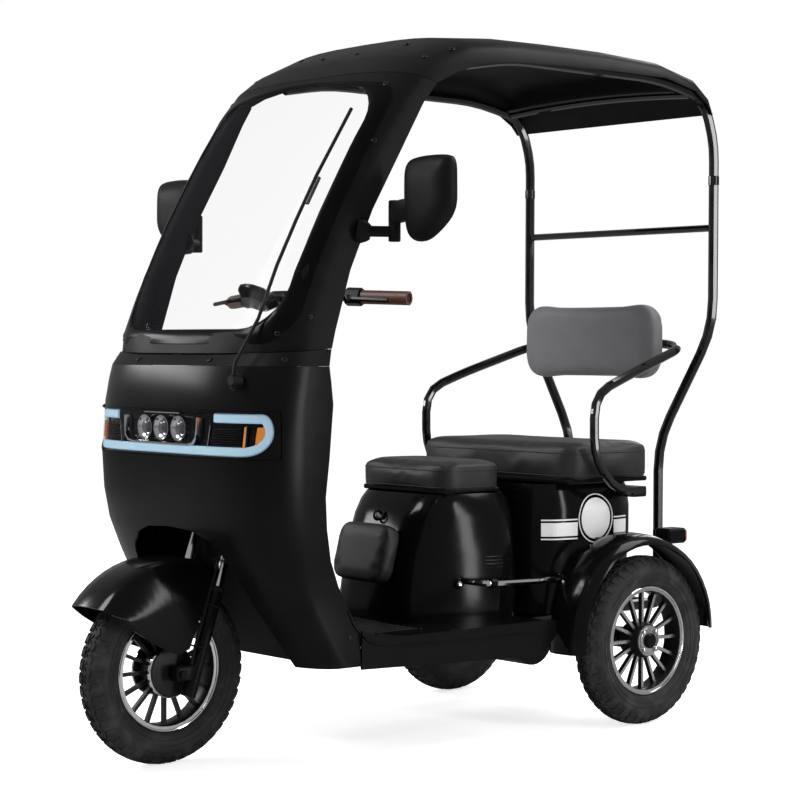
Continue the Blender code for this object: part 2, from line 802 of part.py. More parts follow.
def armrest_hoop():
    half = (
        (HOOP_X, 1.225, 0.570),
        (HOOP_X, 1.130, 0.580),
        (HOOP_X, 1.060, 0.660),
        (HOOP_X, 1.058, 0.812),
        (0.300, 1.180, 0.856),
        (BACKREST_HALF_WIDTH + 0.036, BACKREST_FRONT_Y + BACKREST_THICKNESS, 0.925),
        (BACKREST_HALF_WIDTH - 0.020, BACKREST_FRONT_Y + BACKREST_THICKNESS + 0.032, 0.936),
        (0.150, BACKREST_FRONT_Y + BACKREST_THICKNESS + 0.024, 0.940),
    )
    mirrored = [(-x, y, z) for x, y, z in reversed(half)]
    obj = meshed(tube(bent(list(half) + mirrored, 0.060), HOOP_RADIUS, 3))
    for side in (1, -1):
        wall = box_wall_x(REAR_BOX_RINGS, 1.200, 0.557) + GAP
        near, far = sorted((side * wall, side * 0.316))
        lug = tool(block((near, 1.190, 0.557), (far, 1.240, 0.583), 0.003), f"hoop_lug_tool{side}")
        fuse(obj, lug)
    return place(obj, "armrest_hoop", FRAME_BLACK)


def backrest():
    high_y = BACKREST_FRONT_Y + BACKREST_THICKNESS
    shape = rectangle(BACKREST_HALF_WIDTH, BACKREST_HEIGHT / 2, (0.0, BACKREST_Z))
    place(pad(rounded(shape, BACKREST_CORNER), BACKREST_FRONT_Y, high_y, "Y", 0.020), "backrest", VINYL)
    plate_back = BACKREST_FRONT_Y + BACKREST_THICKNESS + 0.024 - HOOP_RADIUS - GAP
    plate = block((-0.120, high_y + GAP, 0.905), (0.120, plate_back, 0.975), 0.002)
    place(plate, "backrest_plate", DARK_METAL)


def cushion(name, low, high, pivot, bevel=0.018):
    """Seat cushion between two corners, with round corners in plan and a soft edge."""
    middle = ((low[0] + high[0]) / 2, (low[1] + high[1]) / 2)
    plan = rectangle((high[0] - low[0]) / 2, (high[1] - low[1]) / 2, middle)
    return place(pad(rounded(plan, SEAT_CORNER), low[2], high[2], "Z", bevel), name, VINYL, pivot)


def seats():
    base_z = SEAT_BOX_TOP_Z + 2 * GAP
    seat_low = (-0.160, 0.703, base_z + LID_THICKNESS + GAP)
    seat_high = (0.160, 0.894, base_z + LID_THICKNESS + SEAT_HEIGHT)
    cushion("front_seat", seat_low, seat_high, "seat_lid_hinge")
    pan = block((-0.150, 0.708, base_z), (0.150, 0.890, base_z + LID_THICKNESS), 0.003)
    place(pan, "front_seat_pan", SATIN_BLACK, "seat_lid_hinge")
    bench_z = REAR_BOX_TOP_Z + 2 * GAP
    bench_low = (-BENCH_HALF_WIDTH, BENCH_FRONT_Y, bench_z + LID_THICKNESS + GAP)
    bench_high = (BENCH_HALF_WIDTH, BENCH_BACK_Y, bench_z + LID_THICKNESS + BENCH_HEIGHT)
    cushion("rear_bench", bench_low, bench_high, "bench_lid_hinge", 0.022)
    low = (-BENCH_HALF_WIDTH + 0.012, BENCH_FRONT_Y + 0.006, bench_z)
    high = (BENCH_HALF_WIDTH - 0.012, BENCH_BACK_Y - 0.008, bench_z + LID_THICKNESS)
    place(block(low, high, 0.003), "rear_bench_pan", SATIN_BLACK, "bench_lid_hinge")


def body_boxes():
    seat_box = loft([box_ring(r) for r in SEAT_BOX_RINGS], POD_WALL, -1.0, cap_first=True, ring=True)
    place(seat_box, "seat_box", GLOSS_BLACK)
    rear_box = loft([box_ring(r) for r in REAR_BOX_RINGS], POD_WALL, -1.0, cap_first=True, ring=True)
    place(rear_box, "rear_box", GLOSS_BLACK)
    battery_z = REAR_BOX_BOTTOM_Z + POD_WALL + GAP
    battery = block((-0.170, 0.980, battery_z), (0.170, 1.180, battery_z + 0.190), 0.004)
    place(battery, "battery_block", DARK_METAL)
    lean = math.radians(15.5)
    rest = Vector((0.0, box_front_y(SEAT_BOX_RINGS, 0.430) - 2 * GAP, 0.430))
    knee_pad = pad(rounded(rectangle(0.096, 0.073), 0.035), -0.022, 0.022, "Y", 0.014, 2)
    turn = Matrix.Rotation(-lean, 4, "X")
    seated = Matrix.Translation((0.0, -0.022, -0.002)) @ knee_pad.matrix_world
    knee_pad.matrix_world = Matrix.Translation(rest) @ turn @ seated
    place(knee_pad, "front_pad", VINYL)


def floor_tray():
    low = (-FLOOR_HALF_WIDTH, FLOOR_FRONT_Y + 0.022, FLOOR_TOP_Z - FLOOR_THICKNESS)
    obj = block(low, (FLOOR_HALF_WIDTH, FLOOR_BACK_Y, FLOOR_TOP_Z))
    outline = (
        (FLOOR_FRONT_Y + GAP, SKIRT_FRONT_Z),
        (FLOOR_BACK_Y - 0.140, SKIRT_LOW_Z),
        (FLOOR_BACK_Y - 0.039, SKIRT_LOW_Z + 0.004),
        (FLOOR_BACK_Y, SKIRT_LOW_Z + 0.042),
        (FLOOR_BACK_Y, FLOOR_TOP_Z + 0.003),
        (0.411, FLOOR_TOP_Z + 0.004),
        (0.335, 0.293),
        (FLOOR_FRONT_Y + GAP, 0.302),
    )
    for side in (1, -1):
        near, far = sorted((side * (FLOOR_HALF_WIDTH - SKIRT_WALL), side * FLOOR_HALF_WIDTH))
        skirt = tool(slab(outline, near, far, "X"), f"skirt_tool{side}")
        fuse(obj, skirt)
    mat = block((-0.240, 0.375, FLOOR_TOP_Z - 0.002), (0.240, 0.565, FLOOR_TOP_Z + FOOT_MAT_HEIGHT))
    fuse(obj, tool(mat, "foot_mat_tool"))
    return place(obj, "floor_tray", SATIN_BLACK)


def inner_leg_shield():
    columns = ("z", "middle_y", "bulge_half_width")
    rows = (
        (FLOOR_TOP_Z + 0.0011, LEG_SHIELD_MIDDLE_Y, 0.262),
        (0.300, 0.342, 0.260),
        (0.350, 0.338, 0.256),
        (0.402, 0.336, 0.250),
        (0.460, 0.334, 0.244),
        (0.600, 0.332, 0.230),
        (0.750, 0.336, 0.208),
        (0.880, LEG_SHIELD_MIDDLE_Y, LEG_SHIELD_TOP_BULGE),
    )
    points = []
    for row in table(columns, rows):
        shell = between(NOSE_COLUMNS, NOSE_SECTIONS, "z", row["z"])
        side_y = shell["back_y"] - 0.012
        edge = shell["half_width"] - SHELL_WALL - 0.0025
        line = []
        for i in range(21):
            x = edge * (1 - i / 10)
            bulge = math.exp(-((x / row["bulge_half_width"]) ** 4))
            line.append((x, side_y + (row["middle_y"] - side_y) * bulge, row["z"]))
        points.append(line)
    obj = loft(points, 0.003, 0.0)
    return place(obj, "inner_leg_shield", SATIN_BLACK)


def wheel_arch_liner():
    half_width = 0.200
    profile = (
        (nose_front(half_width, 0.530) + SHELL_WALL + 0.0016, 0.530),
        (0.085, 0.594),
        (0.150, 0.612),
        (0.215, 0.602),
        (0.250, 0.560),
        (0.266, 0.460),
        (0.276, SKIRT_FRONT_Z),
    )
    path = bent([(0.0, y, z) for y, z in profile], 0.040, 2)
    columns = [half_width * (1 - i / 2) for i in range(5)]
    obj = loft([[(x, p.y, p.z) for x in columns] for p in path], 0.003, 0.0)
    hole = tool(cylinder((0.0, steer_y(0.59), 0.59), 0.034, 0.12), "stem_hole_cutter")
    hole.rotation_euler = (-RAKE, 0.0, 0.0)
    cut(obj, hole)
    return place(obj, "wheel_arch_liner", RUBBER)


def main_frame():
    rail = [
        (RAIL_X, 0.300, RAIL_Z),
        (RAIL_X, 0.920, RAIL_Z),
        (RAIL_X, 1.000, REAR_RAIL_Z),
        (RAIL_X, 1.458, REAR_RAIL_Z),
    ]
    obj = meshed(tube(rail, RAIL_RADIUS))
    other = tool(meshed(tube([(-x, y, z) for x, y, z in rail], RAIL_RADIUS)), "rail_tool")
    members = [other]
    for i, (y, z) in enumerate(((0.312, RAIL_Z), (0.890, RAIL_Z), (1.440, REAR_RAIL_Z))):
        bar = tube([(-RAIL_X, y, z), (RAIL_X, y, z)], RAIL_RADIUS * 0.9)
        members.append(tool(meshed(bar), f"cross_member_tool{i}"))
    down = [(0.0, 0.306, RAIL_Z), (0.0, 0.300, 0.420), (0.0, 0.294, 0.560)]
    down.append((0.0, steer_y(0.70) + 0.008, 0.690))
    members.append(tool(meshed(tube(bent(down, 0.06), 0.015)), "down_tube_tool"))
    for side in (1, -1):
        foot = [(side * RAIL_X, 1.440, REAR_RAIL_Z), (side * UPRIGHT_FOOT_X, 1.458, 0.300)]
        foot.append((side * UPRIGHT_FOOT_X, 1.458, UPRIGHT_FOOT_Z - GAP))
        members.append(tool(meshed(tube(foot, RAIL_RADIUS)), f"foot_tool{side}"))
    head_middle = (0.0, steer_y(STEERING_HEAD_Z), STEERING_HEAD_Z)
    head = cylinder(head_middle, HEAD_TUBE_RADIUS, HEAD_TUBE_LENGTH, sides=20)
    head.rotation_euler = (-RAKE, 0.0, 0.0)
    members.append(tool(head, "head_tube_tool"))
    for member in members:
        fuse(obj, member)
    bore = cylinder((0.0, steer_y(STEERING_HEAD_Z), STEERING_HEAD_Z), STEM_RADIUS + GAP, 0.40, sides=16)
    bore.rotation_euler = (-RAKE, 0.0, 0.0)
    cut(obj, tool(bore, "head_bore_cutter"))
    return place(obj, "main_frame", FRAME_BLACK)


def drive_axle():
    half = REAR_TRACK / 2 - 0.0510
    obj = cylinder((0.0, WHEELBASE, WHEEL_RADIUS), 0.026, 2 * half, "X", 20)
    motor = tool(cylinder((0.0, WHEELBASE, WHEEL_RADIUS), 0.060, 0.150, "X", 24), "motor_tool")
    fuse(obj, motor)
    lower = cylinder((0.0, WHEELBASE - MOTOR_AHEAD, WHEEL_RADIUS - MOTOR_DROP), 0.068, 0.140, "X", 28)
    fuse(obj, tool(lower, "lower_motor_tool"))
    for side in (1, -1):
        stub = cylinder((side * (REAR_TRACK / 2 - 0.03), WHEELBASE, WHEEL_RADIUS), 0.0100, 0.080, "X", 20)
        fuse(obj, tool(stub, f"stub_tool{side}"))
        low = (side * RAIL_X - 0.016, WHEELBASE - 0.015, WHEEL_RADIUS)
        seat = block(low, (side * RAIL_X + 0.016, WHEELBASE + 0.015, REAR_RAIL_Z - RAIL_RADIUS - GAP))
        fuse(obj, tool(seat, f"spring_seat_tool{side}"))
    return place(obj, "drive_axle", DARK_METAL)


def side_rail(side):
    ends = ((SEAT_BOX_RINGS, 0.730, 0.371), (REAR_BOX_RINGS, 1.010, 0.363))
    points = []
    for rings, y, z in ends:
        corners = [(y + a * SIDE_RAIL_RADIUS, z + b * SIDE_RAIL_RADIUS) for a in (-1, 1) for b in (-1, 1)]
        wall = max(box_wall_x(rings, *corner) for corner in corners) + GAP
        post = [(side * wall, y, z), (side * SIDE_RAIL_X, y, z)]
        points += post if rings is SEAT_BOX_RINGS else post[::-1]
    obj = tube(bent(points, 0.020), SIDE_RAIL_RADIUS)
    return place(obj, "side_rail_left" if side > 0 else "side_rail_right", CHROME)


def fender_point(radius, angle):
    """Station and height on a rear fender, at an angle from straight ahead over the top."""
    along = REAR_FENDER_SQUEEZE if math.cos(angle) > 0 else REAR_FENDER_STRETCH
    y = WHEELBASE - REAR_FENDER_SHIFT - radius * math.cos(angle) * along
    return y, WHEEL_RADIUS + REAR_FENDER_LIFT + radius * math.sin(angle)


def fender_top(radius, y):
    """Height of a rear fender's skin at a station."""
    reach = y - WHEELBASE + REAR_FENDER_SHIFT
    reach /= REAR_FENDER_SQUEEZE if reach < 0 else REAR_FENDER_STRETCH
    return WHEEL_RADIUS + REAR_FENDER_LIFT + math.sqrt(radius ** 2 - reach ** 2)


def rear_fender(side):
    rows = []
    columns = ("x", "radius")
    section = (
        (REAR_FENDER_INNER_X, 0.236),
        (REAR_FENDER_INNER_X + 0.004, REAR_FENDER_RADIUS - 0.003),
        (0.320, REAR_FENDER_RADIUS + 0.002),
        (0.365, REAR_FENDER_RADIUS - 0.001),
        (REAR_FENDER_OUTER_X - 0.006, REAR_FENDER_RADIUS - 0.011),
        (REAR_FENDER_OUTER_X, REAR_FENDER_RADIUS - 0.024),
    )
    for i in range(25):
        angle = math.radians(-7 + 187 * i / 24)
        row = []
        for entry in table(columns, section):
            row.append((side * entry["x"], *fender_point(entry["radius"], angle)))
        rows.append(row if side > 0 else row[::-1])
    obj = loft(rows, FENDER_WALL, -1.0)
    return place(obj, "rear_fender_left" if side > 0 else "rear_fender_right", GLOSS_BLACK)


def fender_bridge(side):
    top = fender_top(REAR_FENDER_RADIUS - 0.003, WHEELBASE - 0.066) - 0.008
    wall = box_wall_x(REAR_BOX_RINGS, WHEELBASE - 0.016, 0.450) + GAP
    near, far = sorted((side * wall, side * (REAR_FENDER_INNER_X - GAP)))
    obj = block((near, WHEELBASE - 0.066, top - 0.0135), (far, WHEELBASE + 0.034, top), 0.003)
    return place(obj, "fender_bracket_left" if side > 0 else "fender_bracket_right", DARK_METAL)


def tail_lamp(side):
    front = 1.285
    near, far = sorted((side * 0.300, side * 0.350))
    bevel = 0.005
    low_z = fender_top(REAR_FENDER_RADIUS + 0.002, front + bevel) + GAP
    obj = block((near, front, low_z), (far, front + 0.067, low_z + 0.038), bevel)
    return place(obj, "tail_lamp_left" if side > 0 else "tail_lamp_right", LAMP_RED)


def mirror(side):
    foot_x = 0.3326
    head_x, head_y, head_z = 0.4685, 0.365, 1.246
    arm = [(foot_x + 0.002, 0.288, 1.184), (0.392, 0.298, 1.184)]
    arm += [(0.402, 0.320, 1.222), (head_x - 0.022, head_y - 0.006, head_z - 0.010)]
    obj = meshed(tube(bent([(side * x, y, z) for x, y, z in arm], 0.02), 0.0115))
    near, far = sorted((side * foot_x, side * (foot_x + 0.006)))
    fuse(obj, tool(block((near, 0.272, 1.164), (far, 0.300, 1.204), 0.002), f"mirror_foot_tool{side}"))
    face = [(-0.075, -0.080), (0.052, -0.088), (0.070, -0.030), (0.075, 0.088), (-0.072, 0.085)]
    shape = rounded([(side * (head_x + x), head_z + z) for x, z in face], 0.024)
    fuse(obj, tool(pad(shape, head_y - 0.020, head_y + 0.020, "Y", 0.010, 2), f"mirror_head_tool{side}"))
    return place(obj, "mirror_left" if side > 0 else "mirror_right", SATIN_BLACK)


def wiper():
    points = [(WIPER_X, 0.006, 0.853), (WIPER_X, 0.012, 0.890)]
    points += [(WIPER_X, frame_front(WIPER_X, z) - 0.012, z) for z in (0.985, 1.100, 1.200, 1.300, 1.454)]
    obj = meshed(tube(points, 0.004, 1))
    angles = [math.tau * i / 24 for i in range(24)]
    face = min(nose_front(WIPER_X + 0.011 * math.cos(a), 0.853 + 0.011 * math.sin(a)) for a in angles) - GAP
    boss = cylinder((WIPER_X, face / 2, 0.853), 0.011, face, "Y", 12)
    fuse(obj, tool(boss, "wiper_boss_tool"))
    return place(obj, "wiper", RUBBER)


def dash_panel():
    """Hood under the windshield, from its frame back to the top of the leg shield."""
    rib = dict(zip(RIB_COLUMNS, FRAME_RIBS[1]))
    shell = between(NOSE_COLUMNS, NOSE_SECTIONS, "z", 0.880)
    side_y = shell["back_y"] - 0.012
    columns = ("share", "z")
    profile = ((0.0, 0.930), (0.20, 0.952), (0.45, 0.960), (0.75, 0.935), (1.0, 0.8815))
    rows = []
    for entry in table(columns, profile):
        row = []
        for i in range(15):
            x = 0.310 * (1 - i / 7)
            across = abs(x) / (rib["half_width"] - FRAME_WALL - 0.006)
            share = (1 - across ** rib["squareness"]) ** (1 / rib["squareness"])
            front = rib["edge_y"] + (rib["middle_y"] - rib["edge_y"]) * share + FRAME_WALL + 0.0100
            back = side_y + (LEG_SHIELD_MIDDLE_Y - side_y) * math.exp(-((x / LEG_SHIELD_TOP_BULGE) ** 4))
            row.append((x, front + (back - front) * entry["share"], entry["z"]))
        rows.append(row)
    obj = loft(rows, 0.003, 0.0)
    hole = tool(cylinder((0.0, steer_y(0.93), 0.93), 0.030, 0.20, sides=16), "dash_hole_cutter")
    hole.rotation_euler = (-RAKE, 0.0, 0.0)
    cut(obj, hole)
    return place(obj, "dash_panel", CHARCOAL)


def tyre(name, pivot):
    half = TYRE_WIDTH / 2
    bead = RIM_LIP_RADIUS - 0.006
    profile = [
        (bead, -RIM_WIDTH / 2 + 0.006),
        (bead + 0.012, -RIM_WIDTH / 2 - 0.004),
        (WHEEL_RADIUS - 0.040, -half),
        (WHEEL_RADIUS - 0.020, -half + 0.003),
        (WHEEL_RADIUS - 0.007, -half + 0.014),
        (WHEEL_RADIUS, -half + 0.030),
    ]
    outline = profile + [(r, -a) for r, a in reversed(profile)]
    obj = turned(outline, 36)
    obj.location = JOINT_PLACES[pivot]
    return place(obj, name, RUBBER, pivot)


def rim(name, pivot, bore, finish):
    half = RIM_WIDTH / 2
    seat = RIM_LIP_RADIUS - 0.006 - GAP
    ring = [
        (seat, -half + 0.004),
        (seat, -half),
        (seat - 0.010, -half),
        (seat - 0.013, -half + 0.006),
        (seat - 0.013, half - 0.006),
        (seat - 0.010, half),
        (seat, half),
        (seat, half - 0.004),
    ]
    obj = turned(ring, 36)
    obj.location = JOINT_PLACES[pivot]
    hub_profile = [(bore, -0.030), (0.040, -0.030), (0.044, -0.020)]
    hub_profile += [(0.044, 0.020), (0.040, 0.030), (bore, 0.030)]
    hub = turned(hub_profile, 20)
    hub.location = JOINT_PLACES[pivot]
    tool(hub, name + "_hub_tool")
    spokes = bmesh.new()
    for i in range(SPOKES):
        made = bmesh.ops.create_cube(spokes, size=1.0)["verts"]
        bmesh.ops.scale(spokes, vec=(0.012, 0.0075, 0.092), verts=made)
        bmesh.ops.translate(spokes, vec=(0.006, 0.0, 0.083), verts=made)
        turn = Matrix.Rotation(math.tau * i / SPOKES, 4, "X")
        bmesh.ops.transform(spokes, matrix=turn, verts=made)
    data = bpy.data.meshes.new("spokes")
    spokes.to_mesh(data)
    spokes.free()
    star = bpy.data.objects.new(name + "_spokes", data)
    VEHICLE.objects.link(star)
    star.location = JOINT_PLACES[pivot]
    if "right" in name:
        star.rotation_euler = (0.0, 0.0, math.pi)
    tool(star, name + "_spokes_tool")
    fuse(obj, hub)
    fuse(obj, star)
    return place(obj, name, finish, pivot)


def fork():
    top_z = 0.545
    legs = []
    for side in (1, -1):
        x = side * FORK_HALF_SPREAD
        stanchion = tube([(x, fork_y(0.36), 0.36), (x, fork_y(top_z), top_z)], STANCHION_RADIUS)
        slider = tube([(x, fork_y(0.154), 0.154), (x, fork_y(0.385), 0.385)], FORK_SLIDER_RADIUS)
        legs.append(tool(meshed(stanchion), f"stanchion_tool{side}"))
        legs.append(tool(meshed(slider), f"slider_tool{side}"))
        near, far = sorted((side * 0.0480, side * 0.0780))
        lug = block((near, -0.014, 0.190), (far, 0.050, 0.226), 0.003)
        legs.append(tool(lug, f"axle_lug_tool{side}"))
    crown = block((-0.084, -0.030, -0.011), (0.084, 0.026, 0.011), 0.004)
    crown.location = (0.0, steer_y(top_z) - 0.010, top_z)
    crown.rotation_euler = (-RAKE, 0.0, 0.0)
    stem_line = [(0.0, steer_y(z), z) for z in (top_z, STEM_TOP_Z)]
    stem = meshed(tube(stem_line, STEM_RADIUS, 6))
    for leg in legs:
        fuse(crown, leg)
    fuse(crown, tool(stem, "stem_tool"))
    axle = cylinder((0.0, 0.0, WHEEL_RADIUS), 0.0080, 0.170, "X", 20)
    fuse(crown, tool(axle, "axle_tool"))
    return place(crown, "fork", CHROME, "steering_axis")


def bar_line():
    """Left half of the handlebar's middle line, from the stem to the grip's end."""
    half = [(0.000, 0.000, 0.018), (0.070, -0.004, 0.022), (0.150, 0.034, 0.020), (0.326, 0.098, 0.014)]
    base = Vector((0.0, steer_y(STEM_TOP_Z), STEM_TOP_Z))
    return [Vector(p) + base for p in half]


def handlebar():
    left = bar_line()
    right = [Vector((-p.x, p.y, p.z)) for p in reversed(left[1:])]
    obj = meshed(tube(bent(right + left, 0.030), BAR_RADIUS))
    base = left[0]
    clamp_low = (-0.026, base.y - 0.017, STEM_TOP_Z + 0.0046)
    clamp = block(clamp_low, (0.026, base.y + 0.017, base.z + 0.016), 0.003)
    fuse(obj, tool(clamp, "bar_clamp_tool"))
    place(obj, "handlebar", FRAME_BLACK, "steering_axis")
    pod_profile = [(0.0, -0.014), (0.034, -0.014), (0.050, 0.004)]
    pod_profile += [(0.050, 0.012), (0.046, 0.015), (0.0, 0.015)]
    pod = turned(pod_profile, 24, "Z")
    pod.location = (0.0, base.y - 0.075, base.z - 0.004)
    pod.rotation_euler = (math.radians(-28), 0.0, 0.0)
    neck_low = (-0.012, base.y - 0.066, base.z - 0.012)
    neck = block(neck_low, (0.012, base.y - 0.017 - GAP, base.z + 0.004), 0.002)
    fuse(pod, tool(neck, "pod_neck_tool"))
    place(pod, "instrument_pod", SATIN_BLACK, "steering_axis")


def along_bar(distance, side):
    """Point on the straight outer stretch of the bar, a distance in from its end."""
    inner, outer = bar_line()[-2:]
    spot = outer + (inner - outer).normalized() * distance
    return Vector((side * spot.x, spot.y, spot.z))


def grip(side):
    obj = meshed(tube([along_bar(-0.002, side), along_bar(0.116, side)], GRIP_RADIUS, 3))
    bore = meshed(tube([along_bar(-0.030, side), along_bar(0.140, side)], BAR_RADIUS + GAP, 2))
    cut(obj, tool(bore, f"grip_bore_cutter{side}"))
    return place(obj, "grip_left" if side > 0 else "grip_right", GRIP_BROWN, "steering_axis")


def hand_control(side):
    """Switch housing round the bar with its brake lever."""
    obj = meshed(tube([along_bar(0.120, side), along_bar(0.156, side)], 0.021, 2))
    bore = meshed(tube([along_bar(0.100, side), along_bar(0.180, side)], BAR_RADIUS + GAP, 2))
    root = along_bar(0.140, side) + Vector((0.0, -0.018, 0.0))
    reach = along_bar(0.110, side) + Vector((0.0, -0.052, -0.004))
    tip = along_bar(0.004, side) + Vector((0.0, -0.056, -0.006))
    lever = meshed(tube(bent([root, reach, tip], 0.030), 0.0052, 1))
    fuse(obj, tool(lever, f"lever_tool{side}"))
    cut(obj, tool(bore, f"control_bore_cutter{side}"))
    return place(obj, "hand_control_left" if side > 0 else "hand_control_right", SATIN_BLACK, "steering_axis")


def fender_front():
    columns = ("angle", "side_radius")
    sides = (
        (38.0, 0.205),
        (40.5, 0.160),
        (45.0, 0.091),
        (57.0, 0.060),
        (70.8, 0.046),
        (91.0, 0.043),
        (112.0, 0.056),
    )
    section = ((0.98, -0.012), (0.80, -0.003), (0.40, 0.000), (0.00, 0.001))
    rows = []
    for i in range(13):
        degrees = 38.0 + 74.0 * i / 12
        angle = math.radians(degrees)
        low = between(columns, sides, "angle", degrees)["side_radius"]
        half = [(1.0, low), (1.0, (low + FRONT_FENDER_RADIUS) / 2)]
        half += [(across, FRONT_FENDER_RADIUS + rise) for across, rise in section]
        across_row = [(-a, r) for a, r in half[:-1]] + [(a, r) for a, r in reversed(half)]
        row = []
        for across, radius in across_row:
            y = -radius * math.cos(angle)
            z = WHEEL_RADIUS + radius * math.sin(angle)
            row.append((across * FRONT_FENDER_HALF_WIDTH, y, z))
        rows.append(row)
    obj = loft(rows, FENDER_WALL, -1.0)
    for side in (1, -1):
        near, far = sorted((side * 0.060, side * 0.0745))
        face = fork_y(0.322) - FORK_SLIDER_RADIUS / math.cos(RAKE) - 2 * GAP
        tab = block((near, 0.036, 0.322), (far, face, 0.338), 0.001)
        fuse(obj, tool(tab, f"fender_tab_tool{side}"))
    return place(obj, "front_fender", GLOSS_BLACK, "steering_axis")


def build():
    front_shell()
    headlamp_unit()
    cowl_strip()
    windshield_frame()
    windshield()
    roof_shell()
    crossbars()
    armrest_hoop()
    backrest()
    seats()
    body_boxes()
    floor_tray()
    inner_leg_shield()
    wheel_arch_liner()
    main_frame()
    drive_axle()
    wiper()
    for side in (1, -1):
        upright(side)
        side_rail(side)
        rear_fender(side)
        fender_bridge(side)
        tail_lamp(side)
        mirror(side)
        grip(side)
        hand_control(side)
    dash_panel()
    fork()
    handlebar()
    fender_front()
    tyre("front_tyre", "front_axle")
    rim("front_rim", "front_axle", 0.0083, DARK_METAL)
    tyre("rear_tyre_left", "rear_axle_left")
    rim("rear_rim_left", "rear_axle_left", 0.0103, ALLOY)
    tyre("rear_tyre_right", "rear_axle_right")
    rim("rear_rim_right", "rear_axle_right", 0.0103, ALLOY)


build()
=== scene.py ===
# %% [markdown]
# # An electric tricycle with a windshield and a roof
#
# This lesson dresses a measured model of a three-wheeled cabin scooter. The measured solids come in as a
# fixed frame, already in metres and standing on the ground with the front towards -Y. Nothing here moves
# them: every new piece is placed by the solids' own boxes, so it lands where the real part would be bolted
# on.

# %% Load the measured solids
import json
import math

import bmesh
import bpy
from mathutils import Matrix, Vector
from mathutils.bvhtree import BVHTree

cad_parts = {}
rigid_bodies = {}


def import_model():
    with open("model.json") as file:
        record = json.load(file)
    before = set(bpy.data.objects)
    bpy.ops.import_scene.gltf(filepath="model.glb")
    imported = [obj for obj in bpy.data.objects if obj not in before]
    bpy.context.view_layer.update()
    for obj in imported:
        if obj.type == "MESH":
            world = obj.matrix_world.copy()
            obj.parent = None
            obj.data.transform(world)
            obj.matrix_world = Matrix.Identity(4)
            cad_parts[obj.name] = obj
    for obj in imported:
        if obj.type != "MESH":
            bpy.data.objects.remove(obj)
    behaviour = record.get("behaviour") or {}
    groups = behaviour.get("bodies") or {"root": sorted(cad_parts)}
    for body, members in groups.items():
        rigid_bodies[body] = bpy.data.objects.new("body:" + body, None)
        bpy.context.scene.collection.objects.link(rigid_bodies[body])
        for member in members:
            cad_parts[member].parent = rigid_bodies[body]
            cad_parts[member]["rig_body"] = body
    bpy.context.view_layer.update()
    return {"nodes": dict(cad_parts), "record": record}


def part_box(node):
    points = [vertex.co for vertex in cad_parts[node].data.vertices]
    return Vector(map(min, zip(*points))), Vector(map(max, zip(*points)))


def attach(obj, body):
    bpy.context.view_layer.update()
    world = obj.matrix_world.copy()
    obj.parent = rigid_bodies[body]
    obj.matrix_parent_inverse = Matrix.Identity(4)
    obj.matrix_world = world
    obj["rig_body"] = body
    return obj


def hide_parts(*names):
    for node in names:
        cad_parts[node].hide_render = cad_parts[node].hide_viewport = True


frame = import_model()
NODES = frame["nodes"]

# %% [markdown]
# ## The camera
#
# The photograph was taken with a long lens from the vehicle's front left, a little above wheel height. The
# lens and place below come from fitting a camera to the three wheels, so the render can be compared piece
# by piece. The camera's turn is built from three angles: round the vehicle, down, and a trace of roll.

# %% Set up the camera
CAMERA_PLACE = Vector((3.827, -3.29575, 0.918))
CAMERA_ROUND = math.radians(48.737)
CAMERA_DOWN = math.radians(1.357)
CAMERA_ROLL = math.radians(0.235)
CAMERA_LENS = 94.34

camera_data = bpy.data.cameras.new("photo_camera")
camera = bpy.data.objects.new("photo_camera", camera_data)
bpy.context.scene.collection.objects.link(camera)
camera_data.lens = CAMERA_LENS
camera_data.sensor_width = 36.0
turn = Matrix.Rotation(CAMERA_ROUND, 3, "Z") @ Matrix.Rotation(math.pi / 2 - CAMERA_DOWN, 3, "X")
turn = turn @ Matrix.Rotation(CAMERA_ROLL, 3, "Z")
camera.matrix_world = Matrix.Translation(CAMERA_PLACE) @ turn.to_4x4()
bpy.context.scene.camera = camera
print("camera at", tuple(round(v, 3) for v in CAMERA_PLACE), "lens", CAMERA_LENS, "mm")

# %% [markdown]
# ## Shader maths in plain Python
#
# Procedural finishes need small sums, such as a mask times a depth. Wiring each sum by hand hides the
# idea, so a small class wraps a socket and lets Python's own operators add the Math nodes. Any other node
# comes from one method that takes its type, its settings and the values or links of its sockets.

# %% Define the socket class and the finish class
class Wire:
    """One shader value. Sums on it add Math nodes to its finish."""

    def __init__(self, finish, socket):
        self.finish = finish
        self.socket = socket

    def math(self, operation, *values):
        return self.finish.node("ShaderNodeMath", {"operation": operation}, dict(enumerate(values)))

    def __add__(self, other):
        return self.math("ADD", self, other)

    def __radd__(self, other):
        return self.math("ADD", other, self)

    def __mul__(self, other):
        return self.math("MULTIPLY", self, other)

    def above(self, edge, soft):
        """0 below the edge and 1 above it, eased over the soft width."""
        settings = {"interpolation_type": "SMOOTHSTEP"}
        values = {"Value": self, "From Min": edge - soft, "From Max": edge + soft}
        return self.finish.node("ShaderNodeMapRange", settings, values)


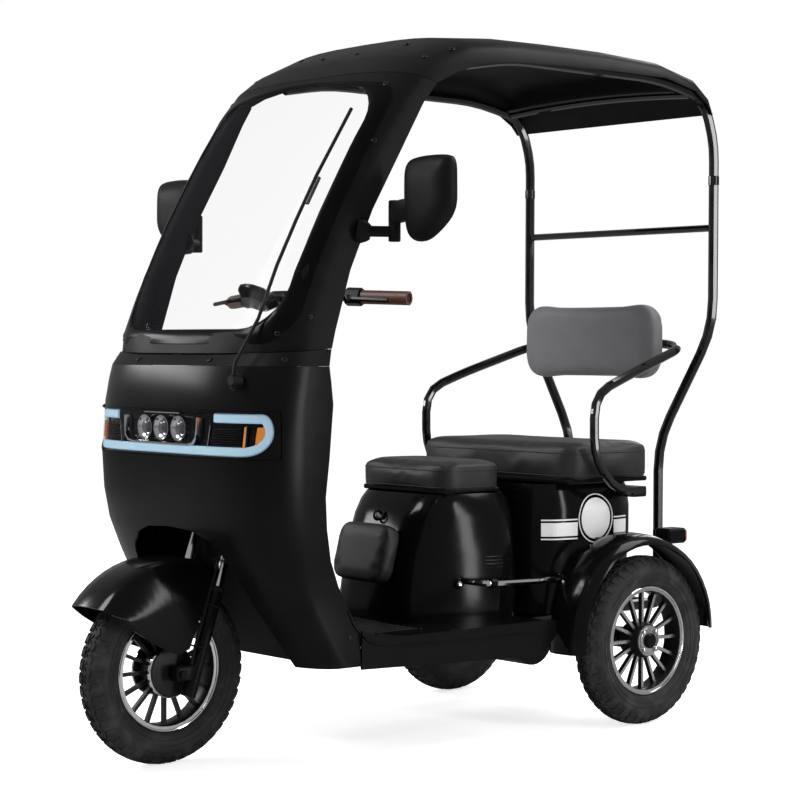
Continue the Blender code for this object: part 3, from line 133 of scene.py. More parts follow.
class Finish:
    """A material whose nodes all come from the method node."""

    def __init__(self, name, colour, roughness, **sockets):
        self.material = bpy.data.materials.new(name)
        self.material.use_nodes = True
        self.tree = self.material.node_tree
        self.shader = self.tree.nodes["Principled BSDF"]
        self.set("Base Color", (*colour, 1.0))
        self.set("Roughness", roughness)
        for socket, value in sockets.items():
            self.set(socket.replace("_", " "), value)

    def set(self, socket, value):
        if isinstance(value, Wire):
            self.tree.links.new(value.socket, self.shader.inputs[socket])
        else:
            self.shader.inputs[socket].default_value = value

    def node(self, kind, settings=None, values=None, output=0):
        made = self.tree.nodes.new(kind)
        for key, value in (settings or {}).items():
            setattr(made, key, value)
        for key, value in (values or {}).items():
            if isinstance(value, Wire):
                self.tree.links.new(value.socket, made.inputs[key])
            else:
                made.inputs[key].default_value = value
        return Wire(self, made.outputs[output])

    def place(self):
        return self.node("ShaderNodeTexCoord", output="Object")

    def noise(self, scale, detail=3.0):
        values = {"Vector": self.place(), "Scale": scale, "Detail": detail}
        return self.node("ShaderNodeTexNoise", values=values)

    def cells(self, scale):
        return self.node("ShaderNodeTexVoronoi", values={"Vector": self.place(), "Scale": scale})

    def mix(self, mask, low, high):
        """A colour between two colours, by a mask."""
        made = self.tree.nodes.new("ShaderNodeMix")
        made.data_type = "RGBA"
        factor, first, second = [s for s in made.inputs if s.enabled and s.name in ("Factor", "A", "B")]
        self.tree.links.new(mask.socket, factor)
        first.default_value = (*low, 1.0)
        second.default_value = (*high, 1.0)
        return Wire(self, [s for s in made.outputs if s.enabled][0])

    def bump(self, height, distance):
        values = {"Height": height, "Distance": distance, "Strength": 1.0}
        self.set("Normal", self.node("ShaderNodeBump", values=values))

    def shine(self, base, scale, spread, detail=3.0):
        """Roughness that drifts upwards from a base value."""
        self.set("Roughness", base + self.noise(scale, detail) * spread)

    def edge_on(self, blend):
        """0 where the surface faces the viewer and 1 where it is seen edge-on."""
        return self.node("ShaderNodeLayerWeight", values={"Blend": blend}, output="Facing")


FINISHES = {}


def keep(name, colour, roughness, **sockets):
    FINISHES[name] = Finish(name, colour, roughness, **sockets)
    return FINISHES[name]


print("helpers ready")

# %% [markdown]
# ## Moulded and painted blacks
#
# Almost everything on this vehicle is black, so the finishes are told apart by how they shine. The nose is
# a satin moulding, the windshield frame and roof have a fine grain, and the boxes and fenders are sprayed
# and lacquered. Each gets its own roughness, a faint unevenness that breaks up the reflections, and a bump
# at the real scale.

# %% Make the moulded plastics
def moulded(name, colour, roughness, grain_size, grain_depth, cloud=0.18, **sockets):
    """Plastic with a cloudy sheen and a grain of the size and depth given, in metres."""
    finish = keep(name, colour, roughness, **sockets)
    drift = finish.noise(9.0, 4.0)
    finish.set("Roughness", roughness * (1.0 - cloud) + drift * (2.0 * cloud * roughness))
    light = tuple(min(1.0, c * 1.35 + 0.002) for c in colour)
    dark = tuple(c * 0.75 for c in colour)
    finish.set("Base Color", finish.mix(finish.noise(14.0, 5.0), dark, light))
    finish.bump(finish.noise(1.0 / grain_size, 4.0), grain_depth)


moulded("satin_black", (0.0026, 0.0026, 0.0029), 0.25, 0.0022, 0.00005, Specular_IOR_Level=0.10)
moulded("charcoal", (0.0062, 0.0062, 0.0067), 0.42, 0.0008, 0.00016, Specular_IOR_Level=0.05)
moulded("gloss_black", (0.0020, 0.0020, 0.0022), 0.14, 0.0300, 0.00010, cloud=0.3, Specular_IOR_Level=0.12)
moulded("frame_paint", (0.0030, 0.0030, 0.0034), 0.08, 0.0200, 0.00003, Specular_IOR_Level=0.45)
moulded("border_black", (0.0018, 0.0018, 0.0020), 0.22, 0.0400, 0.00004, Specular_IOR_Level=0.05)
moulded("dark_metal", (0.0070, 0.0070, 0.0076), 0.36, 0.0015, 0.00008, Specular_IOR_Level=0.20)
moulded("rubber", (0.0080, 0.0080, 0.0083), 0.60, 0.0010, 0.00012, Specular_IOR_Level=0.12)
print("plastics and paints:", len(FINISHES))

# %% [markdown]
# ## Metals and rubber
#
# The stanchions, the side rail and the rim lips are chromed, so they are metal with hardly any roughness.
# The rear spokes are machined, so they are metal too, a little rougher and with a fine noise in their
# bump.

# %% Make the metals
chrome = keep("chrome", (0.70, 0.70, 0.71), 0.07, Metallic=1.0)
chrome.shine(0.05, 40.0, 0.07)
alloy = keep("alloy", (0.52, 0.52, 0.54), 0.24, Metallic=1.0)
alloy.shine(0.17, 60.0, 0.16)
alloy.bump(alloy.noise(900.0, 3.0), 0.00006)
mirror_glass = keep("mirror_glass", (0.85, 0.86, 0.88), 0.02, Metallic=1.0)
mirror_glass.shine(0.01, 30.0, 0.03)
print("metals ready")

# %% Make the tyre rubber and the brown grip
tyre = keep("tyre", (0.028, 0.028, 0.028), 0.72, Specular_IOR_Level=0.20)
dust = tyre.noise(26.0, 6.0).above(0.56, 0.12)
tyre.set("Base Color", tyre.mix(dust, (0.0165, 0.0165, 0.0175), (0.036, 0.0355, 0.0350)))
tyre.set("Roughness", 0.60 + dust * 0.22)
tyre.bump(tyre.noise(700.0, 4.0), 0.00012)
grip = keep("grip", (0.085, 0.027, 0.016), 0.42)
grip.set("Base Color", grip.mix(grip.noise(160.0, 5.0), (0.058, 0.018, 0.011), (0.110, 0.038, 0.023)))
grip.bump(grip.cells(900.0), 0.00018)
print("rubber ready")

# %% [markdown]
# ## Upholstery
#
# The seats are covered with grained vinyl: small pillows of skin with creases between them, which a cell
# pattern gives. The backrest is a moulded foam with its own tight skin, so it is greyer, smoother and
# duller.

# %% Make the vinyl and the foam skin
def skin(name, dark, light, roughness, cell_size, depth):
    """A grained cover: cells for the grain, a slow cloud for the colour, creases duller than the pillows."""
    finish = keep(name, light, roughness, Specular_IOR_Level=0.25)
    cells = finish.cells(1.0 / cell_size)
    finish.set("Base Color", finish.mix(finish.noise(20.0, 5.0), dark, light))
    finish.set("Roughness", roughness - 0.06 + cells * 0.22)
    grain = cells * 0.8 + finish.noise(2.2 / cell_size, 3.0) * 0.4
    finish.bump(grain, depth)


skin("vinyl", (0.0140, 0.0140, 0.0148), (0.0230, 0.0230, 0.0240), 0.40, 0.0016, 0.00020)
skin("foam_skin", (0.1150, 0.1150, 0.1240), (0.1420, 0.1420, 0.1510), 0.46, 0.0012, 0.00012)
print("covers ready")

# %% [markdown]
# ## Clear and lit parts
#
# The windshield is a clear sheet with a trace of lavender: it is mostly see-through, and its edge-on parts
# shine more. The lamp band is lined with pale blue light strips, which glow softly, with amber corners and
# chrome cups.

# %% Make the clear and lit finishes
glass = keep("windshield", (0.05, 0.052, 0.065), 0.02, Alpha=0.10, IOR=1.45, Specular_IOR_Level=0.3)
edge = glass.edge_on(0.30)
glass.set("Alpha", 0.03 + edge * edge * edge * 0.16)
glass.shine(0.01, 6.0, 0.03)
cover_clear = keep("clear_cover", (0.02, 0.02, 0.03), 0.03, Alpha=0.06, Specular_IOR_Level=0.12)
cover_edge = cover_clear.edge_on(0.30)
cover_clear.set("Alpha", 0.03 + cover_edge * cover_edge * 0.25)
cover_clear.shine(0.02, 50.0, 0.02)
lens = keep("clear_lens", (0.05, 0.055, 0.065), 0.03, Alpha=0.30, IOR=1.5)
lens.set("Alpha", 0.35 + lens.edge_on(0.45) * 0.45)
lens.shine(0.02, 50.0, 0.02)
lit = keep("light_strip", (0.24, 0.36, 0.44), 0.34, Emission_Strength=0.36)
lit.set("Emission Color", lit.mix(lit.noise(60.0, 2.0), (0.42, 0.66, 0.86), (0.58, 0.80, 0.94)))


def tinted(name, colour, roughness, scale, dark, light, coat):
    """A lacquered colour that drifts a little between two tones."""
    finish = keep(name, colour, roughness, Coat_Weight=coat)
    finish.set("Base Color", finish.mix(finish.noise(scale), dark, light))


tinted("amber", (0.80, 0.24, 0.02), 0.16, 120.0, (0.62, 0.15, 0.010), (0.92, 0.34, 0.03), 0.6)
tinted("tail_lamp", (0.26, 0.006, 0.005), 0.12, 120.0, (0.18, 0.003, 0.003), (0.34, 0.010, 0.008), 0.5)
tinted("stripe_white", (0.80, 0.80, 0.80), 0.30, 30.0, (0.72, 0.72, 0.72), (0.84, 0.84, 0.84), 0.2)
print("clear and lit finishes ready")

# %% [markdown]
# ## Placing things on the measured skins
#
# A bolt, a lamp or a stripe has to lie on the body it belongs to. The class below holds the skin of one or
# more solids and shoots a straight line at it: from the front, from the side, from above, or along the
# camera's own line of sight. The hit gives the place and the outward direction there.

# %% Define the skins and the small helpers
AXLE_Y = sum(corner.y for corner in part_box("front_tyre")) / 2
PHOTO_SIZE = 800.0


def station(y):
    """World y of a length counted from the front axle."""
    return y + AXLE_Y


def middle_of(node):
    low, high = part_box(node)
    return (low + high) / 2


def sight(u, v):
    """Direction of the line of sight through a pixel of the photograph."""
    reach = camera_data.sensor_width / CAMERA_LENS / PHOTO_SIZE
    return turn @ Vector(((u - PHOTO_SIZE / 2) * reach, (PHOTO_SIZE / 2 - v) * reach, -1.0))


def along(points, steps):
    """Flat points with the same number of steps put into each stretch between them."""
    made = []
    for a, b in zip(points, points[1:]):
        made += [tuple(p + (q - p) * i / steps for p, q in zip(a, b)) for i in range(steps)]
    return made + [points[-1]]


class Skin:
    def __init__(self, *names):
        verts, faces = [], []
        for name in names:
            data = NODES[name].data
            shift = len(verts)
            verts += [v.co.copy() for v in data.vertices]
            faces += [[shift + i for i in p.vertices] for p in data.polygons]
        self.tree = BVHTree.FromPolygons(verts, faces)

    def hit(self, origin, direction):
        direction = Vector(direction).normalized()
        place, normal = self.tree.ray_cast(Vector(origin), direction)[:2]
        if place is None:
            return None
        if normal.dot(direction) > 0:
            normal = -normal
        return place, normal

    def front(self, x, z):
        return self.hit((x, -4.0, z), (0.0, 1.0, 0.0))

    def side(self, y, z, side=1):
        return self.hit((4.0 * side, y, z), (-side, 0.0, 0.0))

    def top(self, x, y):
        return self.hit((x, y, 4.0), (0.0, 0.0, -1.0))

    def photo(self, u, v):
        return self.hit(CAMERA_PLACE, sight(u, v))

    def photos(self, pixels, steps=1):
        """Spots along a line of photograph pixels, with points put in between them."""
        return [spot for spot in (self.photo(u, v) for u, v in along(pixels, steps)) if spot]


def on_plane(u, v, y):
    """Where the line of sight through a pixel of the photograph meets an upright plane across the vehicle."""
    line = sight(u, v)
    return CAMERA_PLACE + line * ((y - CAMERA_PLACE.y) / line.y)


def only(*objects):
    """Select these objects and nothing else."""
    bpy.ops.object.select_all(action="DESELECT")
    for obj in objects:
        obj.select_set(True)
    bpy.context.view_layer.objects.active = objects[0]


def settle(obj):
    """Put the object's place, turn and size into its mesh."""
    only(obj)
    bpy.ops.object.transform_apply(location=True, rotation=True, scale=True)
    return obj


def apply_all(obj):
    only(obj)
    for modifier in list(obj.modifiers):
        bpy.ops.object.modifier_apply(modifier=modifier.name)
    return obj


def smooth(obj, degrees):
    only(obj)
    bpy.ops.object.shade_smooth_by_angle(angle=math.radians(degrees))
    return obj


def dress(obj, *finishes):
    obj.data.materials.clear()
    for finish in finishes:
        obj.data.materials.append(FINISHES[finish].material)
    return obj


def edited(obj, *steps):
    """Run mesh operators, each with its settings, on all of a mesh."""
    only(obj)
    bpy.ops.object.mode_set(mode="EDIT")
    bpy.ops.mesh.select_all(action="SELECT")
    for operator, settings in steps:
        operator(**settings)
    bpy.ops.object.mode_set(mode="OBJECT")
    return obj


FACE_OUT = (bpy.ops.mesh.normals_make_consistent, {"inside": False})


def added(name, data):
    obj = bpy.data.objects.new(name, data)
    bpy.context.scene.collection.objects.link(obj)
    return obj


def duplicate(obj, name):
    copy = added(name, obj.data.copy())
    copy.matrix_basis = obj.matrix_basis
    return copy


def mesh_piece(name, verts, faces):
    data = bpy.data.meshes.new(name)
    data.from_pydata([tuple(v) for v in verts], [], faces)
    return edited(added(name, data), FACE_OUT)


def bridge(rows, columns, around=False, closed=False):
    """Four-sided faces between rows of points, each row with the same number of columns."""
    faces = []
    for r in range(rows if closed else rows - 1):
        s = (r + 1) % rows
        for i in range(columns if around else columns - 1):
            j = (i + 1) % columns
            faces.append((r * columns + i, r * columns + j, s * columns + j, s * columns + i))
    return faces


def thickened(obj, thickness, axis, side=1):
    """Add a thickness to a film on its inner side. Its outer side looks along the axis, plus or minus."""
    average = sum((face.normal for face in obj.data.polygons), Vector())
    thick = obj.modifiers.new("thickness", "SOLIDIFY")
    thick.thickness = thickness
    thick.offset = -1.0 if average[axis] * side > 0 else 1.0
    return apply_all(obj)


def bevelled(obj, width, segments, degrees):
    """Round the edges that turn by more than an angle."""
    rim = obj.modifiers.new("round_edge", "BEVEL")
    rim.width = width
    rim.segments = segments
    rim.limit_method = "ANGLE"
    rim.angle_limit = math.radians(degrees)
    return apply_all(obj)


def join(name, pieces):
    """Several meshes as one piece, each keeping its finish."""
    only(*pieces)
    if len(pieces) > 1:
        bpy.ops.object.join()
    made = bpy.context.object
    made.name = name
    made.data.name = name
    return made


def finished(obj, body, slot, *finishes, replaces=()):
    """Give a finished piece its finish and the body it rides on. The slot argument is not used."""
    if finishes:
        dress(obj, *finishes)
    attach(obj, body)
    if replaces:
        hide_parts(*replaces)
    return obj


def mirrored(obj, name):
    """A copy on the other side of the vehicle, with its faces turned the right way again."""
    copy = duplicate(obj, name)
    copy.scale = (-1.0, 1.0, 1.0)
    return edited(settle(copy), FACE_OUT)


def pair(obj, name, slot, finish):
    """Finish a left-hand piece and its mirror image, both fixed to the chassis."""
    obj.name = name + "_left"
    for piece in (obj, mirrored(obj, name + "_right")):
        finished(piece, "chassis", slot, finish)


print("front axle at y", round(AXLE_Y, 5))

# %% [markdown]
# ## Give every solid its finish
#
# The solids come as loose triangles, so they would shine like cut stones. A copy of each has its doubles
# merged and its shading smoothed, except across real edges, and stands in for the solid. The record lists
# each solid's material slot, so one loop can dress the whole frame. Tyres, cushions and the lamp band get
# their own pieces later.

# %% Copy, smooth and dress the solids
SLOT_FINISH = {"lamp": "gloss_black"}
OWN_PIECES = {
    "front_tyre", "rear_tyre_left", "rear_tyre_right", "front_seat", "rear_bench", "backrest", "front_pad",
    "headlamp_unit", "mirror_left", "mirror_right",
}
SMOOTH_ANGLE = {
    "front_shell": 34.0, "roof_shell": 34.0, "windshield_frame": 34.0, "seat_box": 60.0, "rear_box": 60.0,
    "front_fender": 66.0, "rear_fender_left": 66.0, "rear_fender_right": 66.0, "inner_leg_shield": 40.0,
    "grip_left": 50.0, "grip_right": 50.0, "fork": 50.0, "floor_tray": 50.0,
}
USUAL_ANGLE = 32.0


def merged_copy(node, name):
    """A copy of a solid with its doubles merged and its imported normals dropped."""
    copy = duplicate(NODES[node], name)
    copy.data.name = name
    only(copy)
    bpy.ops.mesh.customdata_custom_splitnormals_clear()
    merge = (bpy.ops.mesh.remove_doubles, {"threshold": 0.00002})
    flat = {"face_threshold": math.radians(8), "shape_threshold": math.radians(60)}
    return edited(copy, merge, (bpy.ops.mesh.tris_convert_to_quads, flat))


SHOWN = {}
for part in frame["record"]["subparts"]:
    node, slot = part["node"], part["material_slot"]
    if node in OWN_PIECES:
        dress(NODES[node], SLOT_FINISH.get(slot, slot))
        continue
    body = NODES[node]["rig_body"]
    copy = smooth(merged_copy(node, node + "_shown"), SMOOTH_ANGLE.get(node, USUAL_ANGLE))
    SHOWN[node] = finished(copy, body, slot, SLOT_FINISH.get(slot, slot), replaces=(node,))
print("dressed", len(SHOWN), "solids")


def split_finish(obj, finishes, rule):
    """Several finishes on one piece: the rule gives each face's finish by its middle and direction."""
    dress(obj, *finishes)
    for face in obj.data.polygons:
        face.material_index = rule(face.center, face.normal)
    return obj

# %% [markdown]
# ## Flat trim that follows a skin
#
# Piping, light strips, stripes and chrome lines are narrow bands that follow a curved body. Each is a path
# of places with their outward directions, widened into a shallow closed bar that sinks a little into what
# carries it.

# %% Define the strip and the screw
def strip(name, spots, width, rise, sink=0.0015, closed=False, edge=0.75):
    """Shallow bar along (place, outward direction) spots, its top narrowed to a share of its width."""
    count = len(spots)
    verts = []
    for i, (place, normal) in enumerate(spots):
        before = spots[i - 1][0] if closed or i else place
        after = spots[(i + 1) % count][0] if closed or i < count - 1 else place
        across = normal.cross(after - before).normalized() * width / 2
        verts += [place - across - normal * sink, place + across - normal * sink]
        verts += [place + across * edge + normal * rise, place - across * edge + normal * rise]
    faces = bridge(count, 4, around=True, closed=closed)
    if not closed:
        faces += [(3, 2, 1, 0), tuple(4 * (count - 1) + k for k in range(4))]
    return mesh_piece(name, verts, faces)


def patch(name, ring, middle, rise, sink):
    """Thin plate on a skin: a ring of (place, outward direction) spots round a middle spot."""
    count = len(ring)
    verts = [p - n * sink for p, n in ring] + [p + n * rise for p, n in ring]
    verts += [middle[0] - middle[1] * sink, middle[0] + middle[1] * rise]
    faces = []
    for i in range(count):
        j = (i + 1) % count
        faces += [(i, j, count + j, count + i), (j, i, 2 * count), (count + i, count + j, 2 * count + 1)]
    return mesh_piece(name, verts, faces)


def lowered(spots, depth):
    return [(place - normal * depth, normal) for place, normal in spots]


def lathe(name, profile, steps):
    """Closed body turned about the Z axis from (radius, height) points, bottom to top."""
    data = bpy.data.meshes.new(name)
    edges = [(i, i + 1) for i in range(len(profile) - 1)]
    data.from_pydata([(r, 0.0, h) for r, h in profile], edges, [])
    obj = added(name, data)
    screw = obj.modifiers.new("turn", "SCREW")
    screw.steps = steps
    screw.render_steps = steps
    screw.use_merge_vertices = True
    screw.merge_threshold = 0.00002
    return edited(apply_all(obj), (bpy.ops.mesh.remove_doubles, {"threshold": 0.00001}), FACE_OUT)


def turned_to(direction):
    return Vector(direction).to_track_quat("Z", "Y").to_matrix().to_4x4()


def stand(obj, place, direction, sink=0.0):
    """Set a piece that was made upright at the origin on a spot, its top facing outwards."""
    obj.matrix_world = Matrix.Translation(Vector(place) - Vector(direction) * sink) @ turned_to(direction)
    return settle(obj)


def turned(profile, steps, place, direction, sink=0.0, finish="satin_black", degrees=30.0):
    """Small lathed part on a spot, its top facing outwards."""
    return dress(stand(smooth(lathe("turned", profile, steps), degrees), place, direction, sink), finish)


def torus(place, rotation, radius, thickness, steps, sides):
    bpy.ops.object.select_all(action="DESELECT")
    bpy.ops.mesh.primitive_torus_add(
        location=place, rotation=rotation, major_segments=steps, minor_segments=sides, major_radius=radius,
        minor_radius=thickness)
    return smooth(settle(bpy.context.object), 80.0)


def make_screw():
    """Round-headed screw with a hexagon socket, made upright at the origin."""
    bpy.ops.object.select_all(action="DESELECT")
    bpy.ops.mesh.primitive_cylinder_add(vertices=24, radius=0.0062, depth=0.0036, location=(0.0, 0.0, 0.0012))
    screw = bevelled(bpy.context.object, 0.0014, 3, 60)
    bpy.ops.object.mode_set(mode="EDIT")
    bpy.ops.mesh.select_all(action="DESELECT")
    bpy.ops.object.mode_set(mode="OBJECT")
    for face in screw.data.polygons:
        face.select = face.normal.z > 0.99 and face.center.xy.length < 0.0005
    bpy.ops.object.mode_set(mode="EDIT")
    bpy.ops.mesh.inset(thickness=0.0022)
    bpy.ops.mesh.inset(thickness=0.0001, depth=-0.0016)
    bpy.ops.object.mode_set(mode="OBJECT")
    return smooth(settle(screw), 40.0)


SCREW = make_screw()
SCREW.hide_render = True
SCREW.hide_viewport = True


def screws(name, skin, pixels, size=1.0):
    """One piece with a screw head at each photograph pixel and, away from the middle, at its mirror image."""
    made = []
    for place, normal in skin.photos(pixels):
        for side in (1, -1) if abs(place.x) > 0.01 else (1,):
            copy = duplicate(SCREW, name)
            at = Matrix.Translation((side * place.x, place.y, place.z))
            copy.matrix_world = at @ turned_to((side * normal.x, normal.y, normal.z)) @ Matrix.Scale(size, 4)
            made.append(settle(copy))
    return finished(join(name, made), "chassis", "dark_metal", "dark_metal")


print("trim helpers ready")

# %% [markdown]
# ## The border of the windshield
#
# The clear sheet is bonded into a glossy black border, which lies on the grained frame and is held by
# screws. Its inner edge follows the opening and its outer edge runs close to the pillars' corner, so a
# ring is laid out flat as seen from the front and each point is then pushed back onto the frame.

# %% Make the windshield border
frame_skin = Skin("windshield_frame", "windshield")
nose_skin = Skin("front_shell", "headlamp_unit", "cowl_strip")
GLASS_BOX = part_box("windshield")
BORDER_STEPS = 4
BORDER_RISE = 0.0022


def corner_arc(x, z, radius, first, steps=6):
    turns = [math.radians(first + 90 * i / steps) for i in range(steps + 1)]
    return [(x + radius * math.cos(t), z + radius * math.sin(t)) for t in turns]


def screen_ring(half_width, low, high, low_corner, high_corner, crown):
    """Outline seen from the front, from the bottom middle round by the left side to the top middle."""
    right = [(0.0, low), (half_width * 0.3, low)]
    right += corner_arc(half_width - low_corner, low + low_corner, low_corner, -90)
    right += [(half_width, low + (high - low) * share) for share in (0.35, 0.45, 0.55, 0.65, 0.75)]
    right += corner_arc(half_width - high_corner, high - crown - high_corner, high_corner, 0)
    end = right[-1]
    for share in (0.75, 0.5, 0.25, 0.0):
        right.append((end[0] * share, end[1] + crown * (1 - share ** 2)))
    return right + [(-x, z) for x, z in reversed(right[1:-1])]


inner = screen_ring(0.283, GLASS_BOX[0].z + 0.006, GLASS_BOX[1].z - 0.004, 0.090, 0.080, 0.020)
outer = screen_ring(0.316, 0.9300, GLASS_BOX[1].z + 0.004, 0.070, 0.050, 0.018)
verts = []
for step in range(BORDER_STEPS + 1):
    share = step / BORDER_STEPS
    for (xi, zi), (xo, zo) in zip(inner, outer):
        place, normal = frame_skin.front(xi + (xo - xi) * share, zi + (zo - zi) * share)
        verts.append(place + normal * BORDER_RISE)
border = mesh_piece("windshield_border", verts, bridge(BORDER_STEPS + 1, len(inner), around=True))
thickened(border, BORDER_RISE + 0.0012, 1, -1)
smooth(bevelled(border, 0.0009, 1, 50), 40.0)
finished(border, "chassis", "charcoal", "border_black")
SEAM = ((182, 354.2), (210, 354.0), (240, 353.4), (265, 352.6), (285, 351.8), (305, 350.8), (328, 349.4))
seam_spots = Skin("windshield_frame", "cowl_strip", "front_shell").photos(SEAM, 4)
near_seal = smooth(strip("cowl_seal_left", seam_spots, 0.0075, 0.0006, 0.0060), 60.0)
pair(near_seal, "cowl_seal", "rubber", "border_black")
roof_skin = Skin("roof_shell", "windshield_frame")
screws("frame_screws", frame_skin, ((386, 84), (374, 141), (309.8, 317), (277.6, 334)))
screws("cowl_screws", nose_skin, ((210, 360), (284.5, 360)))
screws("roof_screws", roof_skin, ((357, 54), (425, 57), (302, 61), (452, 49.5)))
print("border faces:", len(border.data.polygons))

# %% [markdown]
# ## The lamp band
#
# The band across the nose is one clear-covered unit: a dark tray, pale blue strips that glow along its
# bottom and round its ends, three lens cups in a chrome bracket in the middle, and beside them a ribbed
# reflector and an amber lamp. The measured solid fills the whole slot, so a tray is made from its outer
# skin, set back, and the rest is laid on the same skin. Its ends are round, so a body-coloured corner
# piece fills the rest of the slot.

# %% Make the tray and its surround
band = Skin("headlamp_unit")
LOW_Z, HIGH_Z = (corner.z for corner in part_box("headlamp_unit"))
BAND_AXIS_Y = station(0.110)
TRAY_DEPTH = 0.016
TRAY_LIP = 0.0035
HAIR = 0.0002


def band_spot(degrees, z):
    """Spot on the band's outer skin, by its angle round an upright axis, 0 being straight ahead."""
    angle = math.radians(degrees)
    far = Vector((math.sin(angle), -math.cos(angle), 0.0)) * 2.0
    return band.hit(Vector((0.0, BAND_AXIS_Y, z)) + far, -far)


def band_sweep(name, profile, end, steps):
    """Closed body swept round the band from a closed profile of (height, depth below the skin)."""
    verts = []
    count = len(profile)
    for i in range(steps + 1):
        for z, depth in profile:
            place, normal = band_spot(-end + 2 * end * i / steps, z)
            verts.append(place - Vector((normal.x, normal.y, 0.0)).normalized() * depth)
    faces = bridge(steps + 1, count, around=True)
    faces += [tuple(range(count)), tuple(steps * count + k for k in range(count))]
    return smooth(mesh_piece(name, verts, faces), 30.0)


BAND_END = 70.0
while all(band_spot(BAND_END + 0.5, z) for z in (LOW_Z + HAIR, (LOW_Z + HIGH_Z) / 2, HIGH_Z - HAIR)):
    BAND_END += 0.25
print("band ends at", BAND_END, "degrees")
tray_profile = (
    (LOW_Z + HAIR, 0.0), (LOW_Z + TRAY_LIP, 0.0), (LOW_Z + TRAY_LIP + 0.002, TRAY_DEPTH),
    (HIGH_Z - TRAY_LIP - 0.002, TRAY_DEPTH), (HIGH_Z - TRAY_LIP, 0.0), (HIGH_Z - HAIR, 0.0),
    (HIGH_Z - HAIR, TRAY_DEPTH + 0.005), (LOW_Z + HAIR, TRAY_DEPTH + 0.005),
)
tray = band_sweep("lamp_tray", tray_profile, BAND_END, 56)
finished(tray, "chassis", "lamp", "gloss_black", replaces=("headlamp_unit",))


def angle_at(u, v):
    """Angle round the band's axis of the spot seen at a place in the photograph."""
    place = nose_skin.photo(u, v)[0]
    return math.degrees(math.atan2(place.x, BAND_AXIS_Y - place.y))


END_ANGLE = BAND_END - 1.6
LOW_TURN, HIGH_TURN = angle_at(240, 455), angle_at(262, 420)
END_Z = LOW_Z + 0.58 * (HIGH_Z - LOW_Z)
PER_DEGREE = (band_spot(END_ANGLE, END_Z)[0] - band_spot(END_ANGLE - 5.0, END_Z)[0]).length / 5.0


def round_end(inset, steps=9):
    """The band's rounded end as (angle, height) from its low edge to its high edge, set in by a distance."""
    far = END_ANGLE - inset / PER_DEGREE
    low, high = LOW_Z + inset, HIGH_Z - inset
    turns = [math.radians(90 * k / steps) for k in range(steps + 1)]
    lower = [(LOW_TURN + (far - LOW_TURN) * math.sin(t), END_Z - (END_Z - low) * math.cos(t)) for t in turns]
    reach, rise = far - HIGH_TURN, high - END_Z
    upper = [(HIGH_TURN + reach * math.cos(t), END_Z + rise * math.sin(t)) for t in turns]
    return lower + upper[1:]


def level(first, last, z, steps):
    return [(first + (last - first) * k / steps, z) for k in range(steps)]


def end_line(inset, low_steps, high_steps, stop):
    """Spots along the band's low edge, round its end and back along its high edge to an angle."""
    line = level(0.0, LOW_TURN, LOW_Z + inset, low_steps) + round_end(inset)
    line += level(HIGH_TURN, stop, HIGH_Z - inset, high_steps)[1:] + [(stop, HIGH_Z - inset)]
    return [band_spot(*spot) for spot in line]


near_trim = smooth(strip("lamp_trim_left", end_line(0.0022, 12, 12, 0.0), 0.0036, 0.0016), 60.0)
pair(near_trim, "lamp_trim", "lamp", "satin_black")
print("tray faces:", len(tray.data.polygons))

# %% Make the light strips
STRIP_WIDTH = 0.0200
STRIP_DEPTH = 0.0030
STRIP_INSET = 0.0155
strip_spots = lowered(end_line(STRIP_INSET, 14, 8, angle_at(213, 421.2)), STRIP_DEPTH)
near_strip = smooth(strip("light_strip_left", strip_spots, STRIP_WIDTH, 0.0012, 0.0035), 50.0)
pair(near_strip, "light_strip", "lamp", "light_strip")
print("strip spots:", len(strip_spots))

# %% [markdown]
# Each lens is a clear dome in a chrome cup, both turned on a lathe and facing out from the tray where they
# stand. The bracket under them is a chrome bar bent into a shallow U.

# %% Make the lenses, their bracket and the reflectors
CUP_RADIUS = 0.0280
DOME_RADIUS = 0.0195
DOME_HEIGHT = 0.0110
LENS_SPACING = 0.0640
CUP = (
    (0.0, -0.003), (CUP_RADIUS - 0.004, -0.003), (CUP_RADIUS, 0.008), (CUP_RADIUS, 0.0110),
    (CUP_RADIUS - 0.0020, 0.0110), (CUP_RADIUS - 0.0045, 0.0060), (0.012, -0.0005), (0.0, -0.0005),
)
DOME = [(0.0, -0.0004), (DOME_RADIUS, -0.0004)]
for k in range(1, 8):
    angle = math.tau * k / 32
    DOME.append((DOME_RADIUS * math.cos(angle), DOME_HEIGHT * math.sin(angle)))
DOME += [(0.0, DOME_HEIGHT)]
cups, domes = [], []
lens_z = band.photo(159.3, 427.6)[0].z
for i in (-1, 0, 1):
    place, normal = band.front(i * LENS_SPACING, lens_z)
    ahead = Vector((normal.x * 0.5, normal.y, 0.0)).normalized()
    cups.append(turned(CUP, 40, place, ahead, TRAY_DEPTH - 0.0035, "chrome", 40.0))
    domes.append(turned(DOME, 40, place, ahead, TRAY_DEPTH - 0.0040, "clear_lens", 50.0))
finished(join("lens_cups", cups), "chassis", "lamp")
finished(join("lens_domes", domes), "chassis", "lamp")
BRACKET = (
    (124.4, 414.5), (124.4, 424), (124.8, 434), (127.5, 438.8), (132, 440.8), (160, 442.8), (186, 444.8),
    (191.5, 443), (194.6, 438), (195.8, 428), (196.4, 417.6),
)
bracket_spots = band.photos(BRACKET, 2)
skirt_spots = [band_spot(d, lens_z - 0.0425) for d in range(-32, 33, 4)]
eyebrow_spots = [band_spot(d, HIGH_Z - 0.0075) for d in range(-30, 31, 4)]
